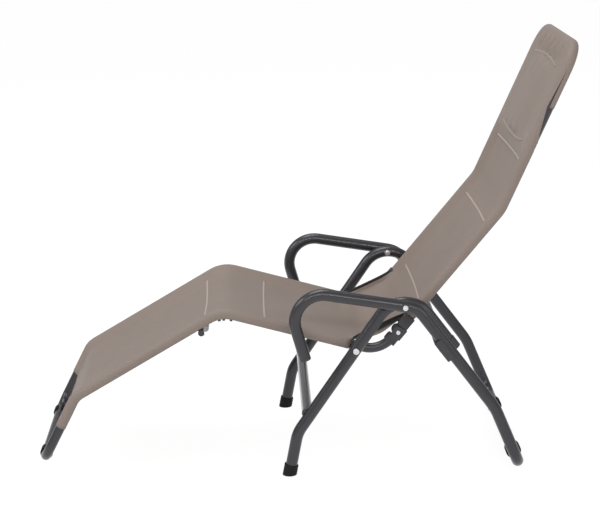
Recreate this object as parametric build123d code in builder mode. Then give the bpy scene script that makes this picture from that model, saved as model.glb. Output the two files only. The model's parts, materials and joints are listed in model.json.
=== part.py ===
from build123d import *
from math import cos, radians, sin, tan
import os

os.makedirs("parts", exist_ok=True)

# Sizes in mm and degrees. X runs from the foot end to the head end, Z is up, the floor is Z 0.
# Left is the side of a sitting person's left hand, -Y, and is the near side in the photograph.

# Base tubes
tube_diameter = 30.0
tube_wall = 1.5
rear_width = 573.0
pivot_gap = 1.0
cross_tube_diameter = 28.0
stop_bow_diameter = 18.0

# Sling rails
rail_diameter = 25.0
rail_wall = 1.5
side_gap = 12.0

# Rear frame: arm, rear leg and floor tube
base_pivot_height = 451.5
arm_slope = 9.8
arm_front_length = 306.0
arm_rear_length = 31.0
arm_bend_radius = 70.0
drop_angle = 74.4
drop_length = 190.0
rear_leg_angle = 53.6
rear_leg_length = 335.0
rear_bend_radius = 150.0
rear_foot_angle = 67.6
floor_corner_radius = 45.0
floor_pad_thickness = 4.0
floor_pad_length = 30.0
floor_pad_reach = 170.0
floor_pad_opening = 14.0
floor_pad_sole_cut = 1.0
splice_length = 120.0
splice_wall = 2.0
splice_rivet_reach = 42.0

# Front frame
front_leg_angle = 55.5
front_leg_length = 478.0
front_bend_radius = 90.0
front_foot_angle = 78.7
shoulder_radius = 75.0
extension_length = 216.0
cross_tube_rise = 58.0
cross_tube_inset = 9.0
stop_bow_reach = 158.0
stop_bow_dip = 26.0
stop_bow_shoulder = 64.0
stop_bow_slope_length = 55.0
stop_bow_bend_radius = 30.0
foot_cap_diameter = 36.0
foot_cap_length = 28.0
foot_cap_floor = 4.0
end_cap_wall = 1.5
end_cap_overlap = 26.0
end_cap_face = 3.5
cap_rounding = 1.2

# Saddles that the front frame's ends rest in
saddle_length = 60.0
saddle_start = 164.0
saddle_depth = 6.0
saddle_wrap = 3.0
saddle_gap = 0.15
saddle_screw_diameter = 4.0
saddle_screw_head = 8.0
saddle_screw_head_height = 2.4
saddle_screw_length = 8.5

# Seat frame
tilt_pivot_drop = 212.5
seat_slope = 16.0
seat_front_length = 353.0
seat_rear_length = 67.0
knee_radius = 80.0
calf_angle = 30.0
calf_length = 434.5
foot_bend_radius = 45.0
foot_angle = 62.5
foot_length = 193.0
foot_corner_radius = 45.0
hip_rail_radius = 70.0
hip_rail_length = 70.0
knee_bar_diameter = 16.0
knee_bar_distance = 70.0
knee_bar_dip = 18.0
knee_bar_shoulder = 34.0
knee_bar_slope_length = 45.0
knee_bar_bend_radius = 25.0
knee_bar_overhang = 8.0
glide_thickness = 4.0
glide_length = 28.0
glide_reach = 150.0
glide_opening = 12.0

# Back frame
back_angle = 50.2
back_length = 403.0
neck_radius = 80.0
head_angle = 65.8
head_length = 440.0
head_corner_radius = 60.0

# Fasteners
bolt_diameter = 8.0
hinge_screw_diameter = 6.0
running_clearance = 0.05
bolt_head_diameter = 14.0
bolt_head_height = 4.5
head_rounding = 2.0
cup_diameter = 19.0
cup_height = 2.0
spacer_diameter = 18.0
nut_washer_diameter = 16.0
nut_washer_height = 1.2
nut_width = 12.0
nut_height = 4.5
nut_dome_diameter = 10.4
nut_dome_height = 2.4
rivet_head_diameter = 16.0
rivet_head_height = 4.0
rivet_tail_diameter = 12.0
rivet_tail_height = 2.6
splice_slip = 0.1
splice_rivet_diameter = 4.0
splice_rivet_head = 8.0
splice_rivet_head_height = 1.6
drive_width = 1.3
drive_length = 6.0
drive_depth = 1.4

# Folding hinge between the seat and back rails
hinge_size = 33.0
hinge_socket_size = 29.0
hinge_start = 36.0
hinge_end = 49.0
hinge_shoulder = 16.0
cheek_radius = 15.0
cheek_gap = 0.2
stop_gap = 0.2
heel_inset = 5.0
rail_end_inset = 21.0
fold_range = 110.0
hinge_rounding = 3.0
groove_width = 1.6
groove_depth = 0.8
groove_spacing = 5.0
hinge_head_diameter = 11.0
hinge_head_height = 3.0
hinge_nut_width = 10.0
hinge_nut_height = 4.5

# Sling cloth
cloth_thickness = 1.0
cloth_gap = 0.05
cloth_sag = 14.0
cloth_lap = 3.0
foot_cloth_length = 90.0
seat_sleeve_gap = 14.5
hip_half_width = 192.0
hip_edge_dip = 2.0
hip_dip = 58.0
hip_cut_radius = 58.0
hip_shares = (-1, -1 / 2, 0, 1 / 2, 1)
binding_width = 6.0
binding_thickness = 2.4
back_sleeve_start = 52.0
back_sleeve_end = 185.0
ramp_start = 100.0
panel_cutout = 30.0
pocket_start = 281.0
pad_start = 172.0
pad_length = 200.0
pad_width = 330.0
pad_thickness = 12.0
pad_corner_radius = 60.0
pad_taper = 55.0
pad_rounding = 18.0

joint_gap = 0.4
quarter_turn = 90.0


def aim(angle):
    # Unit vector in the side view, counted from +X towards +Z
    return Vector(cos(radians(angle)), 0, sin(radians(angle)))


def meet(p, angle_p, q, angle_q):
    # Where two lines of the side view cross
    u = aim(angle_p)
    v = aim(angle_q)
    w = q - p
    s = (w.X * v.Z - w.Z * v.X) / (u.X * v.Z - u.Z * v.X)
    return p + u * s


def at_y(point, y):
    return Vector(point.X, y, point.Z)


def bent_line(points, radii):
    with BuildLine() as run:
        FilletPolyline(*points, radius=radii)
    return run.wires()[0]


def straight_line(start, end):
    with BuildLine() as run:
        Line(start, end)
    return run.wires()[0]


def tube_along(path, outer, wall):
    with BuildPart() as solid:
        with BuildSketch(Plane(origin=path @ 0, z_dir=path % 0)):
            Circle(outer / 2)
            if wall > 0:
                Circle(outer / 2 - wall, mode=Mode.SUBTRACT)
        sweep(path=path)
    return solid.part


def across(point, diameter, y_from, y_to):
    # Solid cylinder along Y at a point of the side view
    with BuildPart() as solid:
        with BuildSketch(Plane(origin=at_y(point, y_from), z_dir=(0, 1, 0))):
            Circle(diameter / 2)
        extrude(amount=y_to - y_from)
    return solid.part


def rod(start, end, diameter):
    with BuildPart() as solid:
        with BuildSketch(Plane(origin=start, z_dir=end - start)):
            Circle(diameter / 2)
        extrude(amount=(end - start).length)
    return solid.part


def rounded_rod(start, end, diameter, rounding):
    # A rod with its far edge rounded
    with BuildPart() as solid:
        add(rod(start, end, diameter))
        fillet(solid.faces().sort_by(Axis(start, end - start))[-1].edges(), rounding)
    return solid.part


def mirrored(part):
    return mirror(part, about=Plane.XZ)


# Half widths of the three pairs of side tubes
rear_half = rear_width / 2
front_half = rear_half - tube_diameter - pivot_gap
rail_half = front_half - tube_diameter / 2 - side_gap - rail_diameter / 2
rear_outer = rear_half + tube_diameter / 2
front_outer = front_half + tube_diameter / 2
front_inner = front_half - tube_diameter / 2
rail_outer = rail_half + rail_diameter / 2
rail_inner = rail_half - rail_diameter / 2
hole = bolt_diameter + 2 * running_clearance
hinge_hole = hinge_screw_diameter + 2 * running_clearance

# Side view of the base, counted from the base pivot
pivot_local = Vector(0, 0, base_pivot_height)
arm_rear = pivot_local + aim(-arm_slope) * arm_rear_length
arm_front = pivot_local - aim(-arm_slope) * arm_front_length
drop_end = arm_front + aim(-drop_angle) * drop_length
rear_knee = arm_rear + aim(-rear_leg_angle) * rear_leg_length
floor_height = tube_diameter / 2 + floor_pad_thickness
floor_corner = rear_knee + aim(-rear_foot_angle) * (
    (rear_knee.Z - floor_height) / sin(radians(rear_foot_angle))
)
shoulder_open = (180 - front_leg_angle - rear_leg_angle) / 2
shoulder_up = (front_leg_angle - rear_leg_angle) / 2 + quarter_turn
shoulder = pivot_local + aim(shoulder_up) * (
    shoulder_radius * (1 / sin(radians(shoulder_open)) - 1)
)
extension_end = shoulder + aim(-rear_leg_angle) * extension_length
front_knee = shoulder - aim(front_leg_angle) * front_leg_length
foot_tube_height = foot_cap_floor + tube_diameter / 2 * cos(radians(front_foot_angle))
front_foot = front_knee - aim(front_foot_angle) * (
    (front_knee.Z - foot_tube_height) / sin(radians(front_foot_angle))
)

# Side view of the lounger
tilt_pivot = shoulder - aim(front_leg_angle) * tilt_pivot_drop
knee = tilt_pivot - aim(-seat_slope) * seat_front_length
hip = tilt_pivot + aim(-seat_slope) * seat_rear_length
fold_pivot = hip + aim(back_angle) * hip_rail_length
foot_bend = knee - aim(calf_angle) * calf_length
foot_tip = foot_bend - aim(foot_angle) * foot_length
neck = fold_pivot + aim(back_angle) * back_length
head_top = neck + aim(head_angle) * head_length

# Everything moves along X so that the origin is under the middle of the whole length
sleeve_radius = rail_diameter / 2 + cloth_gap + cloth_thickness
left_end = foot_tip.X - rail_diameter / 2 - glide_thickness
right_end = head_top.X + sleeve_radius
shift = Vector(-(left_end + right_end) / 2, 0, 0)
base_pivot = pivot_local + shift
arm_rear = arm_rear + shift
arm_front = arm_front + shift
drop_end = drop_end + shift
rear_knee = rear_knee + shift
floor_corner = floor_corner + shift
shoulder = shoulder + shift
extension_end = extension_end + shift
front_knee = front_knee + shift
front_foot = front_foot + shift
tilt_pivot = tilt_pivot + shift
knee = knee + shift
hip = hip + shift
fold_pivot = fold_pivot + shift
foot_bend = foot_bend + shift
foot_tip = foot_tip + shift
neck = neck + shift
head_top = head_top + shift

# Saddles hold the capped ends of the front frame beside the rear legs
leg_way = aim(-rear_leg_angle)
leg_up = aim(quarter_turn - rear_leg_angle)
extension_rise = (shoulder - arm_rear).dot(leg_up)
cap_diameter = tube_diameter + 2 * end_cap_wall
saddle_origin = shoulder + leg_way * saddle_start - leg_up * extension_rise
saddle_height = tube_diameter / 2 + saddle_depth
saddle_middle = (rear_half + front_half) / 2
saddle_width = rear_half - front_half + tube_diameter + 2 * saddle_wrap
saddle_screw_point = saddle_origin + leg_way * (saddle_length / 2) - leg_up * saddle_height
saddle_screw_tip = saddle_screw_point + leg_up * saddle_screw_length

# Rear frame: one bent tube a side, joined by a sleeve inside the floor tube
rear_path = bent_line(
    [
        at_y(drop_end, -rear_half),
        at_y(arm_front, -rear_half),
        at_y(arm_rear, -rear_half),
        at_y(rear_knee, -rear_half),
        at_y(floor_corner, -rear_half),
        at_y(floor_corner, 0),
    ],
    (arm_bend_radius, arm_bend_radius, rear_bend_radius, floor_corner_radius),
)
rear_solid = tube_along(rear_path, tube_diameter, 0)
floor_behind = floor_corner + Vector(tube_diameter / 2, 0, 0)

with BuildPart() as rear_frame_tube_left:
    add(tube_along(rear_path, tube_diameter, tube_wall))
    add(across(base_pivot, hole, -rear_outer, -rear_half + tube_diameter / 2), mode=Mode.SUBTRACT)
    add(
        rod(
            at_y(saddle_screw_point, -rear_half),
            at_y(saddle_screw_tip, -rear_half),
            saddle_screw_diameter,
        ),
        mode=Mode.SUBTRACT,
    )
    add(
        rod(
            at_y(floor_corner, -splice_rivet_reach),
            at_y(floor_behind, -splice_rivet_reach),
            splice_rivet_diameter,
        ),
        mode=Mode.SUBTRACT,
    )
rear_frame_tube_left.part.label = "rear_frame_tube_left"
export_step(rear_frame_tube_left.part, "parts/rear_frame_tube_left.step")

with BuildPart() as rear_frame_tube_right:
    add(mirrored(rear_frame_tube_left.part))
rear_frame_tube_right.part.label = "rear_frame_tube_right"
export_step(rear_frame_tube_right.part, "parts/rear_frame_tube_right.step")

with BuildPart() as rear_frame_splice:
    splice_path = straight_line(
        at_y(floor_corner, -splice_length / 2), at_y(floor_corner, splice_length / 2)
    )
    add(tube_along(splice_path, tube_diameter - 2 * tube_wall - splice_slip, splice_wall))
    for side in (-1, 1):
        add(
            rod(
                at_y(floor_corner, side * splice_rivet_reach),
                at_y(floor_behind, side * splice_rivet_reach),
                splice_rivet_diameter,
            ),
            mode=Mode.SUBTRACT,
        )
rear_frame_splice.part.label = "rear_frame_splice"
export_step(rear_frame_splice.part, "parts/rear_frame_splice.step")

with BuildPart() as splice_rivets:
    for side in (-1, 1):
        seat_point = at_y(floor_behind, side * splice_rivet_reach)
        inner_point = seat_point - Vector(tube_wall + splice_wall, 0, 0)
        outer_point = seat_point + Vector(splice_rivet_head_height, 0, 0)
        add(rod(inner_point, seat_point, splice_rivet_diameter))
        add(rod(seat_point - Vector(tube_wall / 2, 0, 0), outer_point, splice_rivet_head))
    add(rear_solid, mode=Mode.SUBTRACT)
    add(mirrored(rear_solid), mode=Mode.SUBTRACT)
    for side in (-1, 1):
        seat_point = at_y(floor_behind, side * splice_rivet_reach)
        inner_point = seat_point - Vector(tube_wall + splice_wall, 0, 0)
        add(rod(inner_point, seat_point, splice_rivet_diameter))
splice_rivets.part.label = "splice_rivets"
export_step(splice_rivets.part, "parts/splice_rivets.step")

with BuildPart() as arm_end_plugs:
    drop_way = aim(-drop_angle)
    plug_end = drop_end + drop_way * floor_pad_thickness
    for side in (-1, 1):
        add(
            rounded_rod(
                at_y(drop_end, side * rear_half),
                at_y(plug_end, side * rear_half),
                tube_diameter,
                head_rounding,
            )
        )
        add(
            rod(
                at_y(drop_end - drop_way * bolt_head_diameter, side * rear_half),
                at_y(drop_end, side * rear_half),
                tube_diameter - 2 * tube_wall,
            )
        )
arm_end_plugs.part.label = "arm_end_plugs"
export_step(arm_end_plugs.part, "parts/arm_end_plugs.step")

# Pads that grip the floor tube and stand on the floor
with BuildPart() as floor_pads:
    for side in (-1, 1):
        pad_from = at_y(floor_corner, side * floor_pad_reach - floor_pad_length / 2)
        with BuildSketch(Plane(origin=pad_from, x_dir=(-1, 0, 0), z_dir=(0, 1, 0))):
            Circle(tube_diameter / 2 + floor_pad_thickness + floor_pad_sole_cut)
            Circle(tube_diameter / 2, mode=Mode.SUBTRACT)
            with Locations((0, tube_diameter / 2)):
                Rectangle(floor_pad_opening, tube_diameter, mode=Mode.SUBTRACT)
        extrude(amount=floor_pad_length)
    split(bisect_by=Plane.XY, keep=Keep.TOP)
floor_pads.part.label = "floor_pads"
export_step(floor_pads.part, "parts/floor_pads.step")

with BuildPart() as leg_saddle_left:
    saddle_plane = Plane(origin=at_y(saddle_origin, -saddle_middle), x_dir=(0, 1, 0), z_dir=leg_way)
    with BuildSketch(saddle_plane):
        with Locations((0, -saddle_height / 2)):
            Rectangle(saddle_width, saddle_height)
    extrude(amount=saddle_length)
    fillet(leg_saddle_left.faces().sort_by(Axis(saddle_origin, leg_up))[0].edges(), hinge_rounding)
    add(rear_solid, mode=Mode.SUBTRACT)
    cap_from = at_y(shoulder + leg_way * (saddle_start - saddle_length), -front_half)
    cap_to = at_y(shoulder + leg_way * (saddle_start + 2 * saddle_length), -front_half)
    add(rod(cap_from, cap_to, cap_diameter + 2 * saddle_gap), mode=Mode.SUBTRACT)
    add(
        rod(
            at_y(saddle_screw_point, -rear_half),
            at_y(saddle_screw_tip, -rear_half),
            saddle_screw_diameter,
        ),
        mode=Mode.SUBTRACT,
    )
leg_saddle_left.part.label = "leg_saddle_left"
export_step(leg_saddle_left.part, "parts/leg_saddle_left.step")

with BuildPart() as leg_saddle_right:
    add(mirrored(leg_saddle_left.part))
leg_saddle_right.part.label = "leg_saddle_right"
export_step(leg_saddle_right.part, "parts/leg_saddle_right.step")

with BuildPart() as saddle_screws:
    screw_top = saddle_screw_point - leg_up * saddle_screw_head_height
    for side in (-1, 1):
        add(
            rod(
                at_y(saddle_screw_point, side * rear_half),
                at_y(saddle_screw_tip, side * rear_half),
                saddle_screw_diameter,
            )
        )
        add(
            rounded_rod(
                at_y(saddle_screw_point, side * rear_half),
                at_y(screw_top, side * rear_half),
                saddle_screw_head,
                cap_rounding,
            )
        )
saddle_screws.part.label = "saddle_screws"
export_step(saddle_screws.part, "parts/saddle_screws.step")

# Front frame: a bent leg tube a side, a straight cross tube and a bowed stop bar
front_path = bent_line(
    [
        at_y(front_foot, -front_half),
        at_y(front_knee, -front_half),
        at_y(shoulder, -front_half),
        at_y(extension_end, -front_half),
    ],
    (front_bend_radius, shoulder_radius),
)
front_solid = tube_along(front_path, tube_diameter, 0)

with BuildPart() as front_leg_tube_left:
    add(tube_along(front_path, tube_diameter, tube_wall))
    add(across(base_pivot, hole, -front_outer, -front_inner), mode=Mode.SUBTRACT)
    add(across(tilt_pivot, hole, -front_outer, -front_inner), mode=Mode.SUBTRACT)
front_leg_tube_left.part.label = "front_leg_tube_left"
export_step(front_leg_tube_left.part, "parts/front_leg_tube_left.step")

with BuildPart() as front_leg_tube_right:
    add(mirrored(front_leg_tube_left.part))
front_leg_tube_right.part.label = "front_leg_tube_right"
export_step(front_leg_tube_right.part, "parts/front_leg_tube_right.step")

with BuildPart() as front_cross_tube:
    cross_point = (
        shoulder
        - aim(front_leg_angle) * (front_leg_length - cross_tube_rise)
        + aim(front_leg_angle + quarter_turn) * cross_tube_inset
    )
    cross_path = straight_line(at_y(cross_point, -front_half), at_y(cross_point, front_half))
    add(tube_along(cross_path, cross_tube_diameter, tube_wall))
    add(front_solid, mode=Mode.SUBTRACT)
    add(mirrored(front_solid), mode=Mode.SUBTRACT)
front_cross_tube.part.label = "front_cross_tube"
export_step(front_cross_tube.part, "parts/front_cross_tube.step")

with BuildPart() as stop_bow:
    bow_high = shoulder + leg_way * stop_bow_reach
    bow_low = bow_high - Vector(0, 0, stop_bow_dip)
    bow_outer = front_half - stop_bow_shoulder
    bow_inner = bow_outer - stop_bow_slope_length
    bow_path = bent_line(
        [
            at_y(bow_high, -front_half),
            at_y(bow_high, -bow_outer),
            at_y(bow_low, -bow_inner),
            at_y(bow_low, bow_inner),
            at_y(bow_high, bow_outer),
            at_y(bow_high, front_half),
        ],
        stop_bow_bend_radius,
    )
    add(tube_along(bow_path, stop_bow_diameter, tube_wall))
    add(front_solid, mode=Mode.SUBTRACT)
    add(mirrored(front_solid), mode=Mode.SUBTRACT)
stop_bow.part.label = "stop_bow"
export_step(stop_bow.part, "parts/stop_bow.step")

with BuildPart() as front_feet:
    foot_way = aim(front_foot_angle)
    sole = front_foot - foot_way * (front_foot.Z / sin(radians(front_foot_angle)))
    foot_top = sole + foot_way * foot_cap_length
    foot_low = sole - foot_way * (foot_cap_diameter / 2)
    for side in (-1, 1):
        add(
            rounded_rod(
                at_y(foot_low, side * front_half),
                at_y(foot_top, side * front_half),
                foot_cap_diameter,
                cap_rounding,
            )
        )
    add(front_solid, mode=Mode.SUBTRACT)
    add(mirrored(front_solid), mode=Mode.SUBTRACT)
    split(bisect_by=Plane.XY, keep=Keep.TOP)
front_feet.part.label = "front_feet"
export_step(front_feet.part, "parts/front_feet.step")

with BuildPart() as extension_caps:
    for side in (-1, 1):
        add(
            rounded_rod(
                at_y(extension_end - leg_way * end_cap_overlap, side * front_half),
                at_y(extension_end + leg_way * end_cap_face, side * front_half),
                cap_diameter,
                cap_rounding,
            )
        )
    add(front_solid, mode=Mode.SUBTRACT)
    add(mirrored(front_solid), mode=Mode.SUBTRACT)
extension_caps.part.label = "extension_caps"
export_step(extension_caps.part, "parts/extension_caps.step")

# Base pivot: bolt, cup under its head, spacer between the tubes, washer and cap nut
cup_face = rear_outer + cup_height
with BuildPart() as base_pivot_cups:
    add(across(base_pivot, cup_diameter, -cup_face, -rear_half))
    add(rear_solid, mode=Mode.SUBTRACT)
    add(across(base_pivot, hole, -cup_face, -rear_half), mode=Mode.SUBTRACT)
    add(mirrored(base_pivot_cups.part))
base_pivot_cups.part.label = "base_pivot_cups"
export_step(base_pivot_cups.part, "parts/base_pivot_cups.step")

with BuildPart() as base_pivot_spacers:
    add(across(base_pivot, spacer_diameter, -rear_half, -front_outer))
    add(rear_solid, mode=Mode.SUBTRACT)
    add(across(base_pivot, hole, -rear_half, -front_outer), mode=Mode.SUBTRACT)
    add(mirrored(base_pivot_spacers.part))
base_pivot_spacers.part.label = "base_pivot_spacers"
export_step(base_pivot_spacers.part, "parts/base_pivot_spacers.step")

washer_face = front_inner - nut_washer_height
nut_face = washer_face - nut_height
with BuildPart() as base_pivot_bolts:
    add(
        rounded_rod(
            at_y(base_pivot, -cup_face),
            at_y(base_pivot, -cup_face - bolt_head_height),
            bolt_head_diameter,
            head_rounding,
        )
    )
    add(across(base_pivot, bolt_diameter, -cup_face, -nut_face))
    with Locations(at_y(base_pivot, -cup_face - bolt_head_height)):
        Box(drive_length, 2 * drive_depth, drive_width, mode=Mode.SUBTRACT)
        Box(drive_width, 2 * drive_depth, drive_length, mode=Mode.SUBTRACT)
    add(mirrored(base_pivot_bolts.part))
base_pivot_bolts.part.label = "base_pivot_bolts"
export_step(base_pivot_bolts.part, "parts/base_pivot_bolts.step")

with BuildPart() as base_pivot_washers:
    add(across(base_pivot, nut_washer_diameter, -front_inner, -washer_face))
    add(across(base_pivot, hole, -front_inner, -washer_face), mode=Mode.SUBTRACT)
    add(mirrored(base_pivot_washers.part))
base_pivot_washers.part.label = "base_pivot_washers"
export_step(base_pivot_washers.part, "parts/base_pivot_washers.step")

with BuildPart() as base_pivot_nuts:
    with BuildSketch(Plane(origin=at_y(base_pivot, -washer_face), z_dir=(0, 1, 0))):
        RegularPolygon(nut_width / 2, 6, major_radius=False)
    extrude(amount=nut_height)
    add(
        rounded_rod(
            at_y(base_pivot, -nut_face),
            at_y(base_pivot, -nut_face + nut_dome_height),
            nut_dome_diameter,
            cap_rounding,
        )
    )
    add(across(base_pivot, hole, -washer_face, -nut_face), mode=Mode.SUBTRACT)
    add(mirrored(base_pivot_nuts.part))
base_pivot_nuts.part.label = "base_pivot_nuts"
export_step(base_pivot_nuts.part, "parts/base_pivot_nuts.step")

# Seat frame: one tube from hinge to hinge round the foot end
def side_points(points, side):
    return [at_y(point, side * rail_half) for point in points]


seat_rail_end = fold_pivot - aim(back_angle) * rail_end_inset
seat_side = [seat_rail_end, hip, knee, foot_bend, foot_tip]
seat_path = bent_line(
    side_points(seat_side, -1) + side_points(seat_side[::-1], 1),
    (
        hip_rail_radius,
        knee_radius,
        foot_bend_radius,
        foot_corner_radius,
        foot_corner_radius,
        foot_bend_radius,
        knee_radius,
        hip_rail_radius,
    ),
)
seat_solid = tube_along(seat_path, rail_diameter, 0)

knee_bar_rail = knee - aim(calf_angle) * knee_bar_distance
knee_bar_way = aim(calf_angle - quarter_turn)
knee_bar_high = knee_bar_rail + knee_bar_way * (sleeve_radius + knee_bar_diameter / 2)
knee_bar_low = knee_bar_high + knee_bar_way * knee_bar_dip
knee_screw_head = knee_bar_high + knee_bar_way * (knee_bar_diameter / 2)
knee_screw_tip = knee_bar_rail + knee_bar_way * (rail_diameter / 2 - 2 * rail_wall)

def knee_screw(side):
    return rod(
        at_y(knee_screw_head, side * rail_half),
        at_y(knee_screw_tip, side * rail_half),
        saddle_screw_diameter,
    )


with BuildPart() as seat_frame_tube:
    add(tube_along(seat_path, rail_diameter, rail_wall))
    for side in (-1, 1):
        y_from = side * rail_half - rail_diameter / 2
        add(across(tilt_pivot, hole, y_from, y_from + rail_diameter), mode=Mode.SUBTRACT)
        add(knee_screw(side), mode=Mode.SUBTRACT)
seat_frame_tube.part.label = "seat_frame_tube"
export_step(seat_frame_tube.part, "parts/seat_frame_tube.step")

with BuildPart() as knee_bar:
    knee_bar_end = rail_half + knee_bar_overhang
    knee_bar_outer = rail_half - knee_bar_shoulder
    knee_bar_inner = knee_bar_outer - knee_bar_slope_length
    knee_bar_path = bent_line(
        [
            at_y(knee_bar_high, -knee_bar_end),
            at_y(knee_bar_high, -knee_bar_outer),
            at_y(knee_bar_low, -knee_bar_inner),
            at_y(knee_bar_low, knee_bar_inner),
            at_y(knee_bar_high, knee_bar_outer),
            at_y(knee_bar_high, knee_bar_end),
        ],
        knee_bar_bend_radius,
    )
    add(tube_along(knee_bar_path, knee_bar_diameter, rail_wall))
    for side in (-1, 1):
        add(knee_screw(side), mode=Mode.SUBTRACT)
knee_bar.part.label = "knee_bar"
export_step(knee_bar.part, "parts/knee_bar.step")

with BuildPart() as knee_bar_plugs:
    for side in (-1, 1):
        plug_face = at_y(knee_bar_high, side * knee_bar_end)
        add(
            rounded_rod(
                plug_face,
                at_y(knee_bar_high, side * (knee_bar_end + rail_wall)),
                knee_bar_diameter,
                cap_rounding,
            )
        )
        add(
            rod(
                plug_face,
                at_y(knee_bar_high, side * (knee_bar_end - end_cap_face)),
                knee_bar_diameter - 2 * rail_wall,
            )
        )
knee_bar_plugs.part.label = "knee_bar_plugs"
export_step(knee_bar_plugs.part, "parts/knee_bar_plugs.step")

with BuildPart() as knee_bar_screws:
    for side in (-1, 1):
        head_from = at_y(knee_screw_head, side * rail_half)
        add(
            rounded_rod(
                head_from - knee_bar_way * cap_rounding,
                head_from + knee_bar_way * saddle_screw_head_height,
                saddle_screw_head,
                cap_rounding,
            )
        )
    add(tube_along(knee_bar_path, knee_bar_diameter, rail_wall), mode=Mode.SUBTRACT)
    for side in (-1, 1):
        add(knee_screw(side))
knee_bar_screws.part.label = "knee_bar_screws"
export_step(knee_bar_screws.part, "parts/knee_bar_screws.step")

with BuildPart() as foot_glides:
    for side in (-1, 1):
        glide_from = at_y(foot_tip, side * glide_reach - glide_length / 2)
        with BuildSketch(Plane(origin=glide_from, x_dir=(-1, 0, 0), z_dir=(0, 1, 0))):
            Circle(rail_diameter / 2 + glide_thickness)
            Circle(rail_diameter / 2, mode=Mode.SUBTRACT)
            with Locations((0, rail_diameter / 2)):
                Rectangle(glide_opening, rail_diameter, mode=Mode.SUBTRACT)
        extrude(amount=glide_length)
foot_glides.part.label = "foot_glides"
export_step(foot_glides.part, "parts/foot_glides.step")

# Tilting pivot: a rivet through each front leg and rail, and the spacer between them
with BuildPart() as tilt_pivot_rivets:
    add(
        rounded_rod(
            at_y(tilt_pivot, -front_outer),
            at_y(tilt_pivot, -front_outer - rivet_head_height),
            rivet_head_diameter,
            head_rounding,
        )
    )
    add(across(tilt_pivot, bolt_diameter, -front_outer, -rail_inner))
    add(across(tilt_pivot, rivet_tail_diameter, -rail_inner, -rail_inner + rivet_tail_height))
    add(mirrored(tilt_pivot_rivets.part))
tilt_pivot_rivets.part.label = "tilt_pivot_rivets"
export_step(tilt_pivot_rivets.part, "parts/tilt_pivot_rivets.step")

with BuildPart() as tilt_pivot_spacers:
    add(across(tilt_pivot, spacer_diameter, -front_inner, -rail_half))
    add(seat_solid, mode=Mode.SUBTRACT)
    add(across(tilt_pivot, hole, -front_inner, -rail_half), mode=Mode.SUBTRACT)
    add(mirrored(tilt_pivot_spacers.part))
tilt_pivot_spacers.part.label = "tilt_pivot_spacers"
export_step(tilt_pivot_spacers.part, "parts/tilt_pivot_spacers.step")

# Back frame: one tube from hinge to hinge round the head end
back_side = [fold_pivot + aim(back_angle) * rail_end_inset, neck, head_top]
back_path = bent_line(
    side_points(back_side, -1) + side_points(back_side[::-1], 1),
    (neck_radius, head_corner_radius, head_corner_radius, neck_radius),
)
back_solid = tube_along(back_path, rail_diameter, 0)

with BuildPart() as back_frame_tube:
    add(tube_along(back_path, rail_diameter, rail_wall))
back_frame_tube.part.label = "back_frame_tube"
export_step(back_frame_tube.part, "parts/back_frame_tube.step")

# Hinge halves, drawn in a plane through the pivot whose first axis runs up the back rail
hinge_half = hinge_size / 2
socket_half = hinge_socket_size / 2
cheek_depth = hinge_half - cheek_gap / 2
trim_angle = (180 - fold_range) / 2 - stop_gap
trim_rise = hinge_end * tan(radians(trim_angle))


def hinge_plane(y):
    return Plane(origin=at_y(fold_pivot, y), x_dir=aim(back_angle), z_dir=(0, -1, 0))


with BuildPart() as hinge_seat_left:
    with BuildSketch(hinge_plane(-rail_half + socket_half)):
        with Locations((-(hinge_start + hinge_shoulder) / 2, 0)):
            Rectangle(hinge_start - hinge_shoulder, hinge_socket_size)
    extrude(amount=hinge_socket_size)
    fillet(hinge_seat_left.edges().filter_by(Axis(fold_pivot, aim(back_angle))), hinge_rounding)
    with BuildSketch(hinge_plane(-rail_half - cheek_gap / 2)):
        with Locations((-hinge_shoulder / 2, 0)):
            Rectangle(hinge_shoulder, 2 * cheek_radius)
    extrude(amount=cheek_depth)
    with BuildSketch(hinge_plane(-rail_half + hinge_half)):
        Polygon(
            (0, 0),
            (0, hinge_size),
            (-hinge_end, hinge_size),
            (-hinge_end, trim_rise),
            align=None,
        )
    extrude(amount=hinge_size, mode=Mode.SUBTRACT)
    with BuildSketch(hinge_plane(-rail_half - cheek_gap / 2)):
        Circle(cheek_radius)
        Polygon(
            (-hinge_shoulder, -heel_inset),
            (-hinge_shoulder, -hinge_half),
            (hinge_shoulder - stop_gap, -hinge_half),
            (hinge_shoulder - stop_gap, -heel_inset),
            align=None,
        )
    extrude(amount=cheek_depth)
    add(seat_solid, mode=Mode.SUBTRACT)
    add(across(fold_pivot, hinge_hole, -rail_half - hinge_half, -rail_half), mode=Mode.SUBTRACT)
    with BuildSketch(hinge_plane(-rail_half - socket_half + groove_depth)):
        with Locations((-hinge_start + groove_spacing, 0), (-hinge_start + 2 * groove_spacing, 0)):
            Rectangle(groove_width, hinge_size)
    extrude(amount=groove_depth, mode=Mode.SUBTRACT)
hinge_seat_left.part.label = "hinge_seat_left"
export_step(hinge_seat_left.part, "parts/hinge_seat_left.step")

with BuildPart() as hinge_seat_right:
    add(mirrored(hinge_seat_left.part))
hinge_seat_right.part.label = "hinge_seat_right"
export_step(hinge_seat_right.part, "parts/hinge_seat_right.step")

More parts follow.
